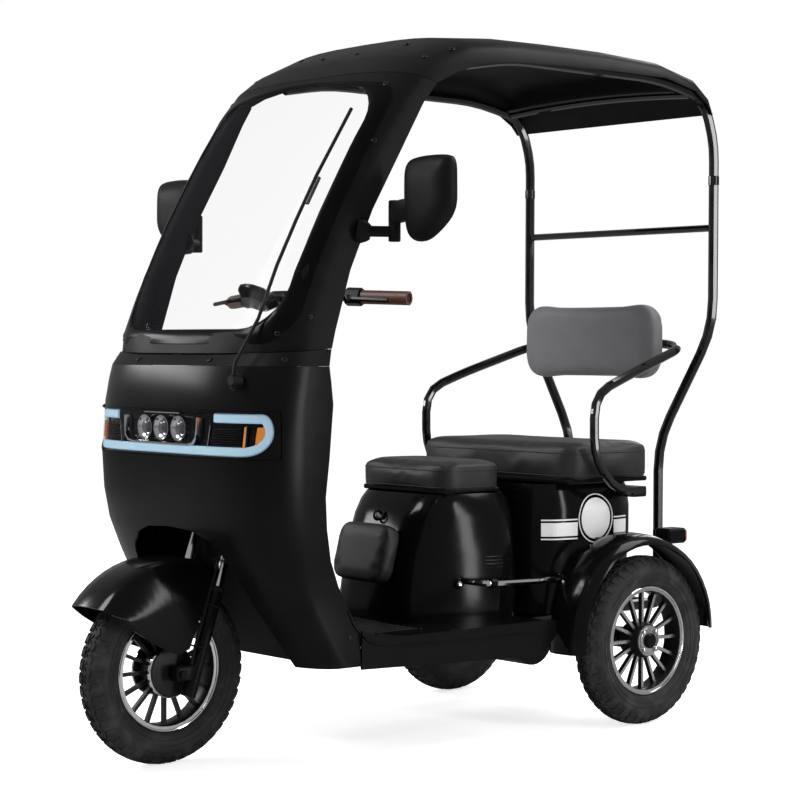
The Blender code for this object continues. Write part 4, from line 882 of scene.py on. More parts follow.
for name, spots, depth, width, rise, sink, edge in (
        ("lens_bracket", bracket_spots, 0.0040, 0.0085, 0.0030, 0.0065, 0.45),
        ("lens_skirt", skirt_spots, 0.0050, 0.0075, 0.0012, 0.0050, 0.6),
        ("lens_eyebrow", eyebrow_spots, 0.0030, 0.0028, 0.0012, 0.0060, 0.75)):
    bar = smooth(strip(name, lowered(spots, depth), width, rise, sink, edge=edge), 60.0)
    finished(bar, "chassis", "lamp", "chrome")


def inside_bar(pixels, steps, depth, width, rise, sink, edge=0.75):
    """Bar that lies under the band's cover along photograph pixels."""
    return strip("bar", lowered(band.photos(pixels, steps), depth), width, rise, sink, edge=edge)


AMBER = (
    (257.2, 427.8), (266, 427.6), (268.2, 430), (268.0, 435), (265.4, 441), (260.5, 446.4), (254.5, 448.4),
    (255.4, 438), (257.2, 427.8),
)
amber_ring = lowered(band.photos(AMBER, 2)[:-1], 0.0060)
amber_lamp = patch("amber_lamp", amber_ring, lowered([band.photo(261, 436)], 0.0060)[0], 0.0035, 0.003)
amber_edge = inside_bar([(244.6, 427.4), (243.6, 438), (242.4, 449.6)], 3, 0.0060, 0.0055, 0.0030, 0.004)
ribs = []
for k in range(9):
    v = 429.0 + 2.35 * k
    row = [(211.5 - k * 0.4, v), (226, v + 0.4), (240.5 - k * 0.2, v + 0.8)]
    ribs.append(inside_bar(row, 3, 0.0070, 0.0038, 0.0026, 0.004, 0.3))
rims = [inside_bar(row, 4, 0.0050, 0.0022, 0.0020, 0.005)
        for row in (((209.2, 425.5), (205.6, 450)), ((245.8, 426.5), (243.8, 450)))]
for key, made, finish in (("amber", [amber_lamp, amber_edge], "amber"), ("ribs", ribs, "dark_metal"),
                          ("rim", rims, "chrome")):
    pair(smooth(join(f"lamp_{key}_left", made), 40.0), f"lamp_{key}", "lamp", finish)
print("lens cups:", len(cups))

# %% [markdown]
# A thin clear cover closes the band. The round ends of the band are cut out of the nose, so a corner piece
# in the nose's own finish fills the space between the round end and the slot, flush with the skin.

# %% Make the cover and the corner pieces
COVER_EDGE = 0.001
cover_profile = (
    (LOW_Z + COVER_EDGE, -0.0004), (HIGH_Z - COVER_EDGE, -0.0004), (HIGH_Z - COVER_EDGE, 0.0012),
    (LOW_Z + COVER_EDGE, 0.0012),
)
finished(band_sweep("lamp_cover", cover_profile, BAND_END - 0.8, 64), "chassis", "lamp", "clear_cover")


def corner_piece(name, steps=3):
    """Body-coloured filler between the band's round end and the slot's straight edges."""
    inner_row = round_end(0.0)
    half = (len(inner_row) - 1) // 2
    low, high = LOW_Z + 0.0005, HIGH_Z - 0.0005
    last = BAND_END - 0.1
    verts = []
    for i, (a, z) in enumerate(inner_row):
        share = i / half if i <= half else (len(inner_row) - 1 - i) / half
        edge, turn_angle = (low, LOW_TURN) if i <= half else (high, HIGH_TURN)
        b, y = turn_angle + (last - turn_angle) * share * 2, edge
        if share >= 0.5:
            b, y = last, edge + (END_Z - edge) * (share - 0.5) * 2
        for k in range(steps + 1):
            t = k / steps
            place, normal = band_spot(a + (b - a) * t, z + (y - z) * t)
            verts.append(place + normal * 0.0012)
    return smooth(thickened(mesh_piece(name, verts, bridge(len(inner_row), steps + 1)), 0.005, 0), 30.0)


pair(corner_piece("lamp_corner_left"), "lamp_corner", "satin_black", "satin_black")
print("lamp band closed")

# %% [markdown]
# ## The cushions
#
# Seats and backrest are foam under a tight cover, so they swell a little between their seams. Each starts
# as a slightly shrunk copy of its measured block, is remeshed evenly, and is blown up as cloth with some
# pressure. How far a point may move is capped, and its underside is pressed flat where it rests on its
# pan.

# %% Define the stuffing
CLOTH_FRAMES = 20
CLOTH_PRESSURE = 4.0
COVER_STIFFNESS = 60.0
COVER_BENDING = 12.0
TAUT_STEPS = 22


def blown_up(obj, cap):
    """Inflate a mesh as cloth. No point moves further than the cap."""
    rest = [v.co.copy() for v in obj.data.vertices]
    cloth = obj.modifiers.new("cover", "CLOTH")
    cloth.settings.use_pressure = True
    cloth.settings.uniform_pressure_force = CLOTH_PRESSURE
    cloth.settings.effector_weights.gravity = 0.0
    cloth.settings.tension_stiffness = COVER_STIFFNESS
    cloth.settings.compression_stiffness = COVER_STIFFNESS
    cloth.settings.bending_stiffness = COVER_BENDING
    cloth.point_cache.frame_start = 1
    cloth.point_cache.frame_end = CLOTH_FRAMES
    for step in range(1, CLOTH_FRAMES + 1):
        bpy.context.scene.frame_set(step)
    shape = obj.evaluated_get(bpy.context.evaluated_depsgraph_get()).to_mesh()
    moves = [v.co - was for v, was in zip(shape.vertices, rest)]
    obj.modifiers.clear()
    for v, was, move in zip(obj.data.vertices, rest, moves):
        v.co = was + move * min(1.0, cap / max(move.length, 1e-9))
    bpy.context.scene.frame_set(1)


def stuff(name, node, shrink, cap, voxel, flat=None, wrap=((0.0, 0.0, 0.0), (0.0, 0.0, 0.0))):
    """Padded copy of a block: shrunk, remeshed, inflated as cloth, capped and pressed flat.

    The cover is wrapped round what carries it by two distances, one for the low and one for the high corner.
    """
    low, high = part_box(node)
    wide_low = low - Vector(wrap[0]) + Vector((shrink, shrink, shrink))
    wide_high = high + Vector(wrap[1]) - Vector((shrink, shrink, shrink))
    middle = (wide_low + wide_high) / 2
    obj = merged_copy(node, name)
    for v in obj.data.vertices:
        share = [(v.co[k] - low[k]) / (high[k] - low[k]) for k in range(3)]
        v.co = [wide_low[k] + (wide_high[k] - wide_low[k]) * share[k] for k in range(3)]
    even = obj.modifiers.new("even_faces", "REMESH")
    even.mode = "VOXEL"
    even.voxel_size = voxel
    apply_all(obj)
    blown_up(obj, cap)
    taut = obj.modifiers.new("taut", "SMOOTH")
    taut.factor = 0.5
    taut.iterations = TAUT_STEPS
    apply_all(obj)
    if flat:
        axis, value = flat
        for v in obj.data.vertices:
            if (v.co[axis] - value) * (1 if value < middle[axis] else -1) < 0:
                v.co[axis] = value
    fine = obj.modifiers.new("fine", "SUBSURF")
    fine.levels = 1
    fine.render_levels = 1
    only(apply_all(obj))
    bpy.ops.object.shade_smooth()
    return obj


print("stuffing ready, cloth is", "on")

# %% Stuff the two seats, the backrest and the knee pad
SEAT_VOXEL = 0.005
BENCH_VOXEL = 0.006
KNEE_VOXEL = 0.004
seat_low, seat_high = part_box("front_seat")
bench_low, bench_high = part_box("rear_bench")
seat_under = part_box("front_seat_pan")[0].z + 0.0015
bench_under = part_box("rear_bench_pan")[0].z + 0.0015
seat_wrap = ((0.008, 0.008, seat_low.z - seat_under), (0.008, 0.008, 0.0085))
bench_wrap = ((0.006, 0.004, bench_low.z - bench_under), (0.006, 0.012, 0.0085))
back_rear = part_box("backrest")[1].y
seat = stuff("front_seat_cushion", "front_seat", 0.005, 0.007, SEAT_VOXEL, (2, seat_under), seat_wrap)
bench = stuff("rear_bench_cushion", "rear_bench", 0.006, 0.009, BENCH_VOXEL, (2, bench_under), bench_wrap)
back = stuff("backrest_pad", "backrest", 0.005, 0.008, BENCH_VOXEL, (1, back_rear))
knee = stuff("knee_pad", "front_pad", 0.003, 0.005, KNEE_VOXEL)
finished(seat, "front_seat_lid", "vinyl", "vinyl", replaces=("front_seat",))
finished(bench, "rear_bench_lid", "vinyl", "vinyl", replaces=("rear_bench",))
finished(back, "chassis", "vinyl", "foam_skin", replaces=("backrest",))
finished(knee, "chassis", "vinyl", "vinyl", replaces=("front_pad",))


def seam(name, obj, height, radius, body, steps=96):
    """Welt round a cushion at a height, found by shooting inwards at its side."""
    places = [v.co for v in obj.data.vertices]
    tree = BVHTree.FromPolygons(places, [list(p.vertices) for p in obj.data.polygons])
    low, high = Vector(map(min, zip(*places))), Vector(map(max, zip(*places)))
    spots = []
    for i in range(steps):
        angle = math.tau * i / steps
        reach = Vector((math.cos(angle) * (high.x - low.x), math.sin(angle) * (high.y - low.y), 0.0)) * 1.5
        origin = Vector(((low.x + high.x) / 2, (low.y + high.y) / 2, height)) + reach
        place, normal = tree.ray_cast(origin, -reach.normalized())[:2]
        spots.append((place, Vector((normal.x, normal.y, 0.0)).normalized()))
    welt = strip(name, spots, 2 * radius, radius, radius, closed=True, edge=0.5)
    return finished(smooth(welt, 80.0), body, "vinyl", "vinyl")


seam("front_seat_welt", seat, seat_high.z - 0.012, 0.0016, "front_seat_lid")
seam("front_seat_low_welt", seat, seat_under + 0.014, 0.0014, "front_seat_lid")
seam("rear_bench_welt", bench, bench_high.z - 0.015, 0.0017, "rear_bench_lid")
seam("rear_bench_low_welt", bench, bench_under + 0.018, 0.0015, "rear_bench_lid")
print("cushion faces:", [len(p.data.polygons) for p in (seat, bench, back, knee)])

# %% [markdown]
# ## The tyres
#
# The measured tyre is smooth, so its height and width are kept and road tread is cut into it: the carcass
# is turned a little lower than the crown, and rubber blocks stand on it up to the measured radius. One
# pitch of the pattern, a zig-zag pair in the middle and lugs at the shoulders, is repeated all round.

# %% Make the treaded tyres
TYRE_LOW, TYRE_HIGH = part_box("front_tyre")
TYRE_RADIUS = (TYRE_HIGH.z - TYRE_LOW.z) / 2
TYRE_HALF = (TYRE_HIGH.x - TYRE_LOW.x) / 2
GROOVE = 0.0050
PITCHES = 44
BLOCK_TAPER = 0.94
CROWN = ((0.0, 0.0), (0.011, 0.0006), (0.020, 0.0034), (0.027, 0.0080), (0.034, 0.0150), (0.0385, 0.0235))
RIM_SEAT = 0.1335
TREAD = (
    ((0.04, 0.46, 0.90, 0.48), (0.0015, 0.0045, 0.0025, 0.0125)),
    ((0.06, 0.52, 0.96, 0.50), (0.0150, 0.0090, 0.0160, 0.0225)),
    ((0.10, 0.62, 0.70, 0.18), (0.0250, 0.0240, 0.0375, 0.0380)),
)
WALL_RINGS = ((0.1520, 0.0362), (0.1640, 0.0400))


def crown_radius(a):
    for (a0, d0), (a1, d1) in zip(CROWN, CROWN[1:]):
        if abs(a) <= a1:
            return TYRE_RADIUS - d0 - (d1 - d0) * (abs(a) - a0) / (a1 - a0)
    return TYRE_RADIUS - CROWN[-1][1]


def block(angles, lateral):
    """Corners of one tread block, from below the carcass to the crown, where it is narrower."""
    n = len(angles)
    ca, cl = sum(angles) / n, sum(lateral) / n
    verts = []
    for rise, spread in ((-GROOVE - 0.001, 1.0), (0.0, BLOCK_TAPER)):
        for a, l in zip(angles, lateral):
            a, l = ca + (a - ca) * spread, cl + (l - cl) * spread
            r = crown_radius(l) + rise
            verts.append(Vector((l, -r * math.cos(a), r * math.sin(a))))
    return verts, [tuple(reversed(range(n))), tuple(range(n, 2 * n))] + bridge(2, n, around=True)


def treaded(name, node, body):
    half = [(RIM_SEAT, 0.0), (RIM_SEAT, 0.0235), (RIM_SEAT + 0.0030, 0.0290), (0.1480, 0.0345)]
    half += [(0.1600, 0.0392), (0.1700, TYRE_HALF - 0.0004), (0.1770, TYRE_HALF - 0.0006)]
    half += [(crown_radius(a) - GROOVE * 0.8, a) for a in (0.0385, 0.034, 0.027, 0.020, 0.011)]
    profile = half + [(r, -a) for r, a in reversed(half)]
    carcass = smooth(lathe(name + "_carcass", profile, 72), 40.0)
    carcass.rotation_euler = (0.0, math.pi / 2, 0.0)
    settle(carcass)
    verts, faces = [], []
    pitch = math.tau / PITCHES
    for i in range(PITCHES):
        for side, start in ((1, i * pitch), (-1, (i + 0.5) * pitch)):
            for turns, lateral in TREAD:
                corners, sides = block([start + pitch * s for s in turns], [side * l for l in lateral])
                faces += [tuple(len(verts) + k for k in face) for face in sides]
                verts += corners
    pieces = [carcass, mesh_piece(name + "_tread", verts, faces)]
    for radius, reach in WALL_RINGS:
        for side in (1, -1):
            pieces.append(torus((side * reach, 0.0, 0.0), (0.0, math.pi / 2, 0.0), radius, 0.0010, 72, 6))
    tyre_piece = join(name, pieces)
    tyre_piece.location = middle_of(node)
    return finished(settle(tyre_piece), body, "tyre", "tyre", replaces=(node,))


treaded("front_tyre_treaded", "front_tyre", "front_wheel")
treaded("rear_tyre_treaded_left", "rear_tyre_left", "rear_wheel_left")
treaded("rear_tyre_treaded_right", "rear_tyre_right", "rear_wheel_right")
print("tyre radius", round(TYRE_RADIUS, 4), "pitches", PITCHES)

# %% [markdown]
# ## The wheels' faces
#
# All three wheels are castings with sixteen spokes. The front one is black with a bright edge line and
# holds the brake drum; the rear ones have machined spoke faces, so only faces that look outwards are
# bright. Lathe-turned caps, rings and bolts finish the hubs.

# %% Dress the wheels
RIM_LIP = 0.1325
HUB_FACE = 0.0300
HUB = ((0.0, 0.0), (0.0385, 0.0), (0.0375, 0.0030), (0.030, 0.0042), (0.0, 0.0042))
HUB_RING = ((0.0300, 0.0), (0.0335, 0.0), (0.0335, 0.0062), (0.0318, 0.0070), (0.0300, 0.0062), (0.0300, 0.0))
HUB_CAP = ((0.0, 0.0), (0.0190, 0.0), (0.0185, 0.0095), (0.0150, 0.0125), (0.0, 0.0135))
BOLT = ((0.0, 0.0), (0.0072, 0.0), (0.0072, 0.0085), (0.0055, 0.0105), (0.0, 0.0105))
BOLT_CIRCLE = 0.0300
LIP_LINE = ((0.1290, 0.0), (0.1338, 0.0), (0.1338, 0.0016), (0.1325, 0.0028), (0.1300, 0.0020), (0.1290, 0.0))
DRUM = (
    (0.0, -0.004), (0.0540, -0.004), (0.0560, -0.002), (0.0560, 0.0075), (0.0540, 0.0095), (0.0400, 0.0110),
    (0.0, 0.0110),
)
DRUM_BAND = ((0.0558, -0.001), (0.0590, -0.001), (0.0590, 0.0045), (0.0558, 0.0060), (0.0558, -0.001))


def wheel_face(node, bright_spokes):
    middle = middle_of(node)

    def rule(centre, normal):
        reach = math.hypot(centre.y - middle.y, centre.z - middle.z)
        outward = abs(normal.x) > 0.8 and abs(centre.x - middle.x) > 0.004
        if reach > RIM_LIP - 0.012 and abs(normal.x) > 0.5:
            return 1
        return 1 if bright_spokes and outward and reach > 0.046 else 0

    split_finish(SHOWN[node], ("dark_metal", "alloy" if bright_spokes else "chrome"), rule)


def hub_parts(name, node, side, body, bright):
    """Cap, ring and four bolts on one face of a wheel, and the bright line of its lip."""
    out = Vector((side, 0.0, 0.0))
    middle = middle_of(node)
    face = middle + out * HUB_FACE
    pieces = [
        turned(HUB, 48, face, out, 0.0004, "alloy" if bright else "dark_metal"),
        turned(HUB_RING, 48, face, out, 0.0, "alloy"),
        turned(HUB_CAP, 40, face, out, 0.0, "gloss_black"),
    ]
    for k in range(4):
        angle = math.tau * (k + 0.5) / 4
        place = face + Vector((0.0, math.cos(angle), math.sin(angle))) * BOLT_CIRCLE
        pieces.append(turned(BOLT, 6, place, out, 0.0, "chrome", 180.0))
    pieces.append(turned(LIP_LINE, 72, middle + out * 0.0262, out, 0.0, "chrome"))
    if not bright:
        pieces.append(turned(DRUM, 64, face, out, 0.0, "dark_metal"))
        pieces.append(turned(DRUM_BAND, 64, face, out, 0.0, "chrome"))
    finished(join(name, pieces), body, "alloy")


wheel_face("front_rim", False)
wheel_face("rear_rim_left", True)
wheel_face("rear_rim_right", True)
hub_parts("front_hub_left", "front_rim", 1, "front_wheel", False)
hub_parts("front_hub_right", "front_rim", -1, "front_wheel", False)
hub_parts("rear_hub_left", "rear_rim_left", 1, "rear_wheel_left", True)
hub_parts("rear_hub_right", "rear_rim_right", -1, "rear_wheel_right", True)
print("wheels dressed")

# %% [markdown]
# ## The fork and the steering
#
# The fork's lower legs are black castings and only the stanchions above them are chromed. A brake hose is
# clipped down the left leg. The right control has a red button, and the instrument has a dark glass.

# %% Dress the fork
FORK_SLIDER_TOP = 0.386
FORK_CROWN_LOW = 0.530
FORK_LEG_X = 0.066
FORK_RAKE = math.radians(18.6)
SEAL_Z = 0.384
SEAL = ((0.0128, 0.0), (0.0185, 0.0), (0.0185, 0.0090), (0.0165, 0.0120), (0.0128, 0.0120), (0.0128, 0.0))
HOSE = (
    (0.520, 0.021), (0.470, 0.022), (0.400, 0.0235), (0.340, 0.0225), (0.270, 0.0225), (0.225, 0.021),
    (0.205, 0.015),
)
BUTTON = ((0.0, 0.0), (0.0075, 0.0), (0.0075, 0.0040), (0.0060, 0.0055), (0.0, 0.0055))
DIAL = ((0.0, 0.0), (0.0430, 0.0), (0.0430, 0.0012), (0.0400, 0.0022), (0.0, 0.0030))


def leg_y(z, ahead=0.0):
    """World y of the fork legs' axis at a height, or of a line ahead of it."""
    return station(0.3365 * z - 0.029 - ahead)


def fork_rule(centre, normal):
    if centre.z < FORK_SLIDER_TOP:
        return 0
    return 1 if centre.z < FORK_CROWN_LOW and abs(centre.x) > 0.045 else 2


split_finish(SHOWN["fork"], ("satin_black", "chrome", "frame_paint"), fork_rule)
leg_axis = Vector((0.0, math.tan(FORK_RAKE), 1.0)).normalized()
seals = []
for x in (FORK_LEG_X, -FORK_LEG_X):
    seals.append(turned(SEAL, 32, (x, leg_y(SEAL_Z), SEAL_Z), leg_axis, 0.004, "rubber"))
finished(join("fork_seals", seals), "steering", "rubber")


def tube_piece(name, points, radius):
    """Smooth hose through the points, with closed ends, as a mesh."""
    data = bpy.data.curves.new(name, "CURVE")
    data.dimensions = "3D"
    data.bevel_depth = radius
    data.bevel_resolution = 3
    data.use_fill_caps = True
    data.resolution_u = 8
    line = data.splines.new("NURBS")
    line.points.add(len(points) - 1)
    for point, spot in zip(line.points, points):
        point.co = (*spot, 1.0)
    line.use_endpoint_u = True
    line.order_u = 4
    only(added(name, data))
    bpy.ops.object.convert(target="MESH")
    return smooth(settle(bpy.context.object), 60.0)


hose = tube_piece("brake_hose", [(FORK_LEG_X + 0.006, leg_y(z, ahead), z) for z, ahead in HOSE], 0.0038)
finished(hose, "steering", "rubber", "rubber")
clips = [torus((FORK_LEG_X + 0.003, leg_y(z, 0.011), z), (-FORK_RAKE, 0.0, 0.0), 0.0205, 0.0016, 28, 6)
         for z in (0.448, 0.352, 0.262)]
finished(join("hose_clips", clips), "steering", "rubber", "rubber")


def facing(node, direction):
    """Place and normal where a line through the middle of a node's box, from outside, meets it first."""
    direction = Vector(direction).normalized()
    return Skin(node).hit(middle_of(node) + direction, -direction)


button = turned(BUTTON, 28, *facing("hand_control_right", (0.0, 0.9, 0.3)), 0.001, "tail_lamp")
finished(join("start_button", [button]), "steering", "tail_lamp")
dial = turned(DIAL, 48, *facing("instrument_pod", (0.0, 0.4695, 0.8829)), 0.0004, "gloss_black", 40.0)
finished(join("instrument_glass", [dial]), "steering", "satin_black")
print("fork and steering dressed")

# %% [markdown]
# ## Mirrors
#
# Each mirror is a deep black shell on a short post. The shell's outline is a rounded square whose lower
# outer corner is cut away. It is extruded forward in shrinking rings, so its front is a dome, and its rear
# holds a sunk glass. The arm is a boss on the pillar, a stub, an upright post and a flat block that runs
# into the shell.

# %% Make the mirror shell, its glass and its arm
MIRROR_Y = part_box("mirror_left")[1].y - 0.022
HEAD_MIDDLE = Vector((0.4680, MIRROR_Y, 1.2465))
HEAD_DEPTH = 0.044
HEAD_RIM = ((0.0175, 0.900), (0.0190, 0.930), (0.0200, 0.965), (0.0190, 0.990))
GLASS_RINGS = ((0.0170, 0.896), (0.0182, 0.896), (0.0186, 0.880))
HEAD_CORNERS = (
    (-0.0745, 0.030), (-0.0725, 0.082), (-0.040, 0.0925), (0.045, 0.0925), (0.0735, 0.084), (0.0755, 0.030),
    (0.0755, -0.030), (0.030, -0.070), (-0.020, -0.096), (-0.062, -0.088), (-0.0725, -0.040),
)
BOSS = ((0.0, -0.006), (0.0270, -0.006), (0.0270, 0.004), (0.0200, 0.018), (0.0150, 0.024), (0.0, 0.024))
BLOCK_OUTLINE = ((-1, -0.8), (-0.8, -1), (0.8, -1), (1, -0.8), (1, 0.8), (0.8, 1), (-0.8, 1), (-1, 0.8))
BLOCK_RINGS = ((-0.12, 0.020, 0.0115), (-0.06, 0.0235, 0.0135), (0.5, 0.0235, 0.0130), (1.0, 0.0215, 0.0110))


def head_outline(steps=8):
    """The shell's outline as (x, z), each corner rounded by a curve between the middles of its sides."""
    points = []
    count = len(HEAD_CORNERS)
    for i in range(count):
        a, b, c = [Vector(HEAD_CORNERS[(i + k) % count]) for k in (-1, 0, 1)]
        for k in range(steps):
            s = k / steps
            points.append((a + b) / 2 * (1 - s) ** 2 + b * 2 * s * (1 - s) + (b + c) / 2 * s * s)
    return points


def ringed(name, rings):
    """Closed body through rings that have the same number of points."""
    count = len(rings[0])
    faces = bridge(len(rings), count, around=True)
    faces += [tuple(reversed(range(count))), tuple((len(rings) - 1) * count + i for i in range(count))]
    return mesh_piece(name, [v for ring in rings for v in ring], faces)


def head_ring(outline, y, share):
    return [HEAD_MIDDLE + Vector((x * share, y, z * share)) for x, z in outline]


outline = head_outline()
rings = [head_ring(outline, y, share) for y, share in HEAD_RIM]
for k in range(12):
    angle = math.radians(86 * k / 11)
    rings.append(head_ring(outline, 0.012 - (HEAD_DEPTH - 0.012) * math.sin(angle), math.cos(angle) ** 0.42))
head = smooth(ringed("mirror_shell", rings), 50.0)
glass_plate = smooth(ringed("mirror_glass", [head_ring(outline, y, share) for y, share in GLASS_RINGS]), 30.0)
boss_spot = [spot for spot in (frame_skin.photo(u, 231) for u in range(370, 330, -1)) if spot][4]
post_low = on_plane(394.5, 239, MIRROR_Y - 0.006)
post_high = on_plane(394.5, 205, MIRROR_Y - 0.006)
post_foot = Vector((post_low.x, post_low.y, boss_spot[0].z))
boss_way = ((post_low - boss_spot[0]).normalized() + boss_spot[1] * 0.3).normalized()


def round_bar(start, end, radius):
    """Turned bar with softened ends from one place to another."""
    length = (end - start).length
    soft = min(0.002, radius * 0.3)
    profile = [(0.0, 0.0), (radius - soft, 0.0), (radius, soft), (radius, length - soft)]
    profile += [(radius - soft, length), (0.0, length)]
    return turned(profile, 24, start, (end - start).normalized(), 0.0, "charcoal", 35.0)


boss = turned(BOSS, 8, boss_spot[0], boss_way, 0.0, "charcoal", 20.0)
stub = round_bar(boss_spot[0] + Vector((-0.006, 0.0, 0.0)), post_foot, 0.0120)
post_start = Vector((post_foot.x, post_foot.y, post_low.z - 0.006))
post = round_bar(post_start, Vector((post_foot.x, post_foot.y, post_high.z + 0.010)), 0.0135)
root = Vector((post_foot.x, post_foot.y, (post_low.z + post_high.z) / 2 + 0.020))
tip = HEAD_MIDDLE + Vector((-0.040, -0.004, -0.020))
block_rings = []
for t, half_z, half_y in BLOCK_RINGS:
    block_rings.append([root.lerp(tip, t) + Vector((0.0, half_y * a, half_z * b)) for a, b in BLOCK_OUTLINE])
arm_block = smooth(ringed("arm_block", block_rings), 40.0)
near_mirror = [dress(head, "charcoal"), boss, stub, post, dress(arm_block, "charcoal")]
near_mirror = join("mirror_left_shown", near_mirror + [dress(glass_plate, "mirror_glass")])
far_mirror = mirrored(near_mirror, "mirror_right_shown")
finished(near_mirror, NODES["mirror_left"]["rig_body"], "charcoal", replaces=("mirror_left",))
finished(far_mirror, NODES["mirror_right"]["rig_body"], "charcoal", replaces=("mirror_right",))
print("mirrors ready, post at x", round(post_foot.x, 3), "boss at", [round(c, 3) for c in boss_spot[0]])

# %% [markdown]
# ## Stripes and fittings on the boxes
#
# Each side of the rear box has a white stripe with a round white plate in it, both bare, drawn as thin
# film that lies on the lacquer. The outlines are given along the body and in height, and each point is
# shot at the box from its side.

# %% Make the side stripes
rear_box = Skin("rear_box")
FILM = 0.0016
FILM_SINK = 0.0008
ROUNDEL_RADIUS = 0.0590
ROUNDEL_STEPS = 48
ROUNDEL_CIRCLES = 5
STRIPE_HALF = 0.0165
STRIPE_STEPS = 36
FILM_STEPS = 4
ROUNDEL = rear_box.photo(595.5, 518.0)[0]
stripe_start = rear_box.photo(541, 527.5)[0]
stripe_end = [spot for spot in (rear_box.photo(u, 527.0) for u in range(638, 600, -1)) if spot][3][0]
STRIPE_Z = (stripe_start.z + stripe_end.z) / 2


def film(name, points, side, faces):
    """Film on the lacquer through rows of (y, z) points."""
    verts = []
    for y, z in points:
        place, normal = rear_box.side(y, z, side)
        verts.append(place + normal * FILM)
    return thickened(mesh_piece(name, verts, faces), FILM + FILM_SINK, 0, side)


def film_band(name, row, low, high, side):
    """Film between two heights over a row of y."""
    points = [(y, low + (high - low) * (k / FILM_STEPS)) for y in row for k in range(FILM_STEPS + 1)]
    return film(name, points, side, bridge(len(row), FILM_STEPS + 1))


def disc(name, radius, side, inner=0.0):
    """Round film, or a ring of it, laid on in circles so that it follows the curve."""
    points = []
    for k in range(ROUNDEL_CIRCLES + 1):
        reach = max(radius * (inner + (1.0 - inner) * k / ROUNDEL_CIRCLES), 0.0004)
        for i in range(ROUNDEL_STEPS):
            angle = math.tau * i / ROUNDEL_STEPS
            points.append((ROUNDEL.y + reach * math.cos(angle), ROUNDEL.z + reach * math.sin(angle)))
    middle = [] if inner else [tuple(range(ROUNDEL_STEPS))]
    return film(name, points, side, bridge(ROUNDEL_CIRCLES + 1, ROUNDEL_STEPS, around=True) + middle)


run = [stripe_start.y + (stripe_end.y - stripe_start.y) * i / STRIPE_STEPS for i in range(STRIPE_STEPS + 1)]
front_end, rear_start = ROUNDEL.y - ROUNDEL_RADIUS * 1.10, ROUNDEL.y + ROUNDEL_RADIUS * 1.10
front_row = [y for y in run if y < front_end] + [front_end]
rear_row = [rear_start] + [y for y in run if y > rear_start]
top, foot = STRIPE_Z + STRIPE_HALF, STRIPE_Z - STRIPE_HALF
for side, word in ((1, "left"), (-1, "right")):
    made = []
    for row in (front_row, rear_row):
        made.append(film_band("film", row, foot, top, side))
        made.append(film_band("line", row, top + 0.005, top + 0.0085, side))
        made.append(film_band("line", row, foot - 0.0085, foot - 0.005, side))
    made.append(disc("plate", ROUNDEL_RADIUS * 0.86, side))
    made.append(disc("ring", ROUNDEL_RADIUS * 1.03, side, inner=0.955))
    finished(join(f"side_stripe_{word}", made), "chassis", "gloss_black", "stripe_white")
print("stripes ready")

# %% [markdown]
# The seat box carries a bag hook, a lock and a vent. They are small moulded parts, each set on the box by
# the place it has in the photograph.

# %% Make the seat box fittings
LOCK = (
    (0.0, 0.0), (0.0150, 0.0), (0.0150, 0.0030), (0.0120, 0.0045), (0.0115, 0.0100), (0.0095, 0.0120),
    (0.0, 0.0120),
)
LOCK_CORE = ((0.0, 0.0), (0.0052, 0.0), (0.0052, 0.0014), (0.0, 0.0016))
VENT_SLOTS = 4
VENT_PITCH = 0.0085


def rounded_plate(width, height, depth, corner):
    """Plate with rounded corners, upright at the origin, its face towards +Z."""
    bpy.ops.object.select_all(action="DESELECT")
    bpy.ops.mesh.primitive_cube_add(size=1.0, location=(0.0, 0.0, depth / 2))
    plate = bpy.context.object
    plate.scale = (width, height, depth)
    settle(plate)
    bm = bmesh.new()
    bm.from_mesh(plate.data)
    upright = [e for e in bm.edges if abs((e.verts[0].co - e.verts[1].co).normalized().z) > 0.9]
    bmesh.ops.bevel(bm, geom=upright, offset=corner, segments=5, affect="EDGES", profile=0.5)
    bm.to_mesh(plate.data)
    bm.free()
    return smooth(bevelled(plate, min(depth * 0.4, 0.002), 2, 60), 35.0)


seat_box = Skin("seat_box")
hook, hook_out = seat_box.photo(381, 515)
lock, lock_out = seat_box.photo(458, 583)
vent, vent_out = seat_box.photo(494, 562)
ring_middle = hook + hook_out * 0.012 + Vector((0.0, 0.0, -0.004))
fittings = [
    stand(rounded_plate(0.030, 0.022, 0.006, 0.005), hook, hook_out, 0.002),
    torus(ring_middle, (0.0, math.pi / 2, 0.0), 0.011, 0.0030, 28, 10),
    turned(LOCK, 32, lock, lock_out, 0.002),
]
vents = []
for k in range(VENT_SLOTS):
    place = vent + Vector((0.0, 0.0, (k - 1.5) * VENT_PITCH))
    vents.append(stand(rounded_plate(0.052, 0.0042, 0.0020, 0.0018), place, vent_out, 0.0010))
for piece in fittings + vents:
    dress(piece, "satin_black")
fittings.append(turned(LOCK_CORE, 24, lock + lock_out * 0.0100, lock_out, 0.0, "chrome"))
finished(join("seat_box_fittings", fittings + vents), "chassis", "satin_black")
print("fittings:", len(fittings + vents))

# %% [markdown]
# ## Floor, rails and rear lamps
#
# The floor is a black moulding with a raised lip at its edges, anti-slip ribs on the mat and screws, and a
# lip runs along the seam between the nose and the floor. The side rail is held by round clamps at its
# ends. The rear lamps are red lenses on black bases.

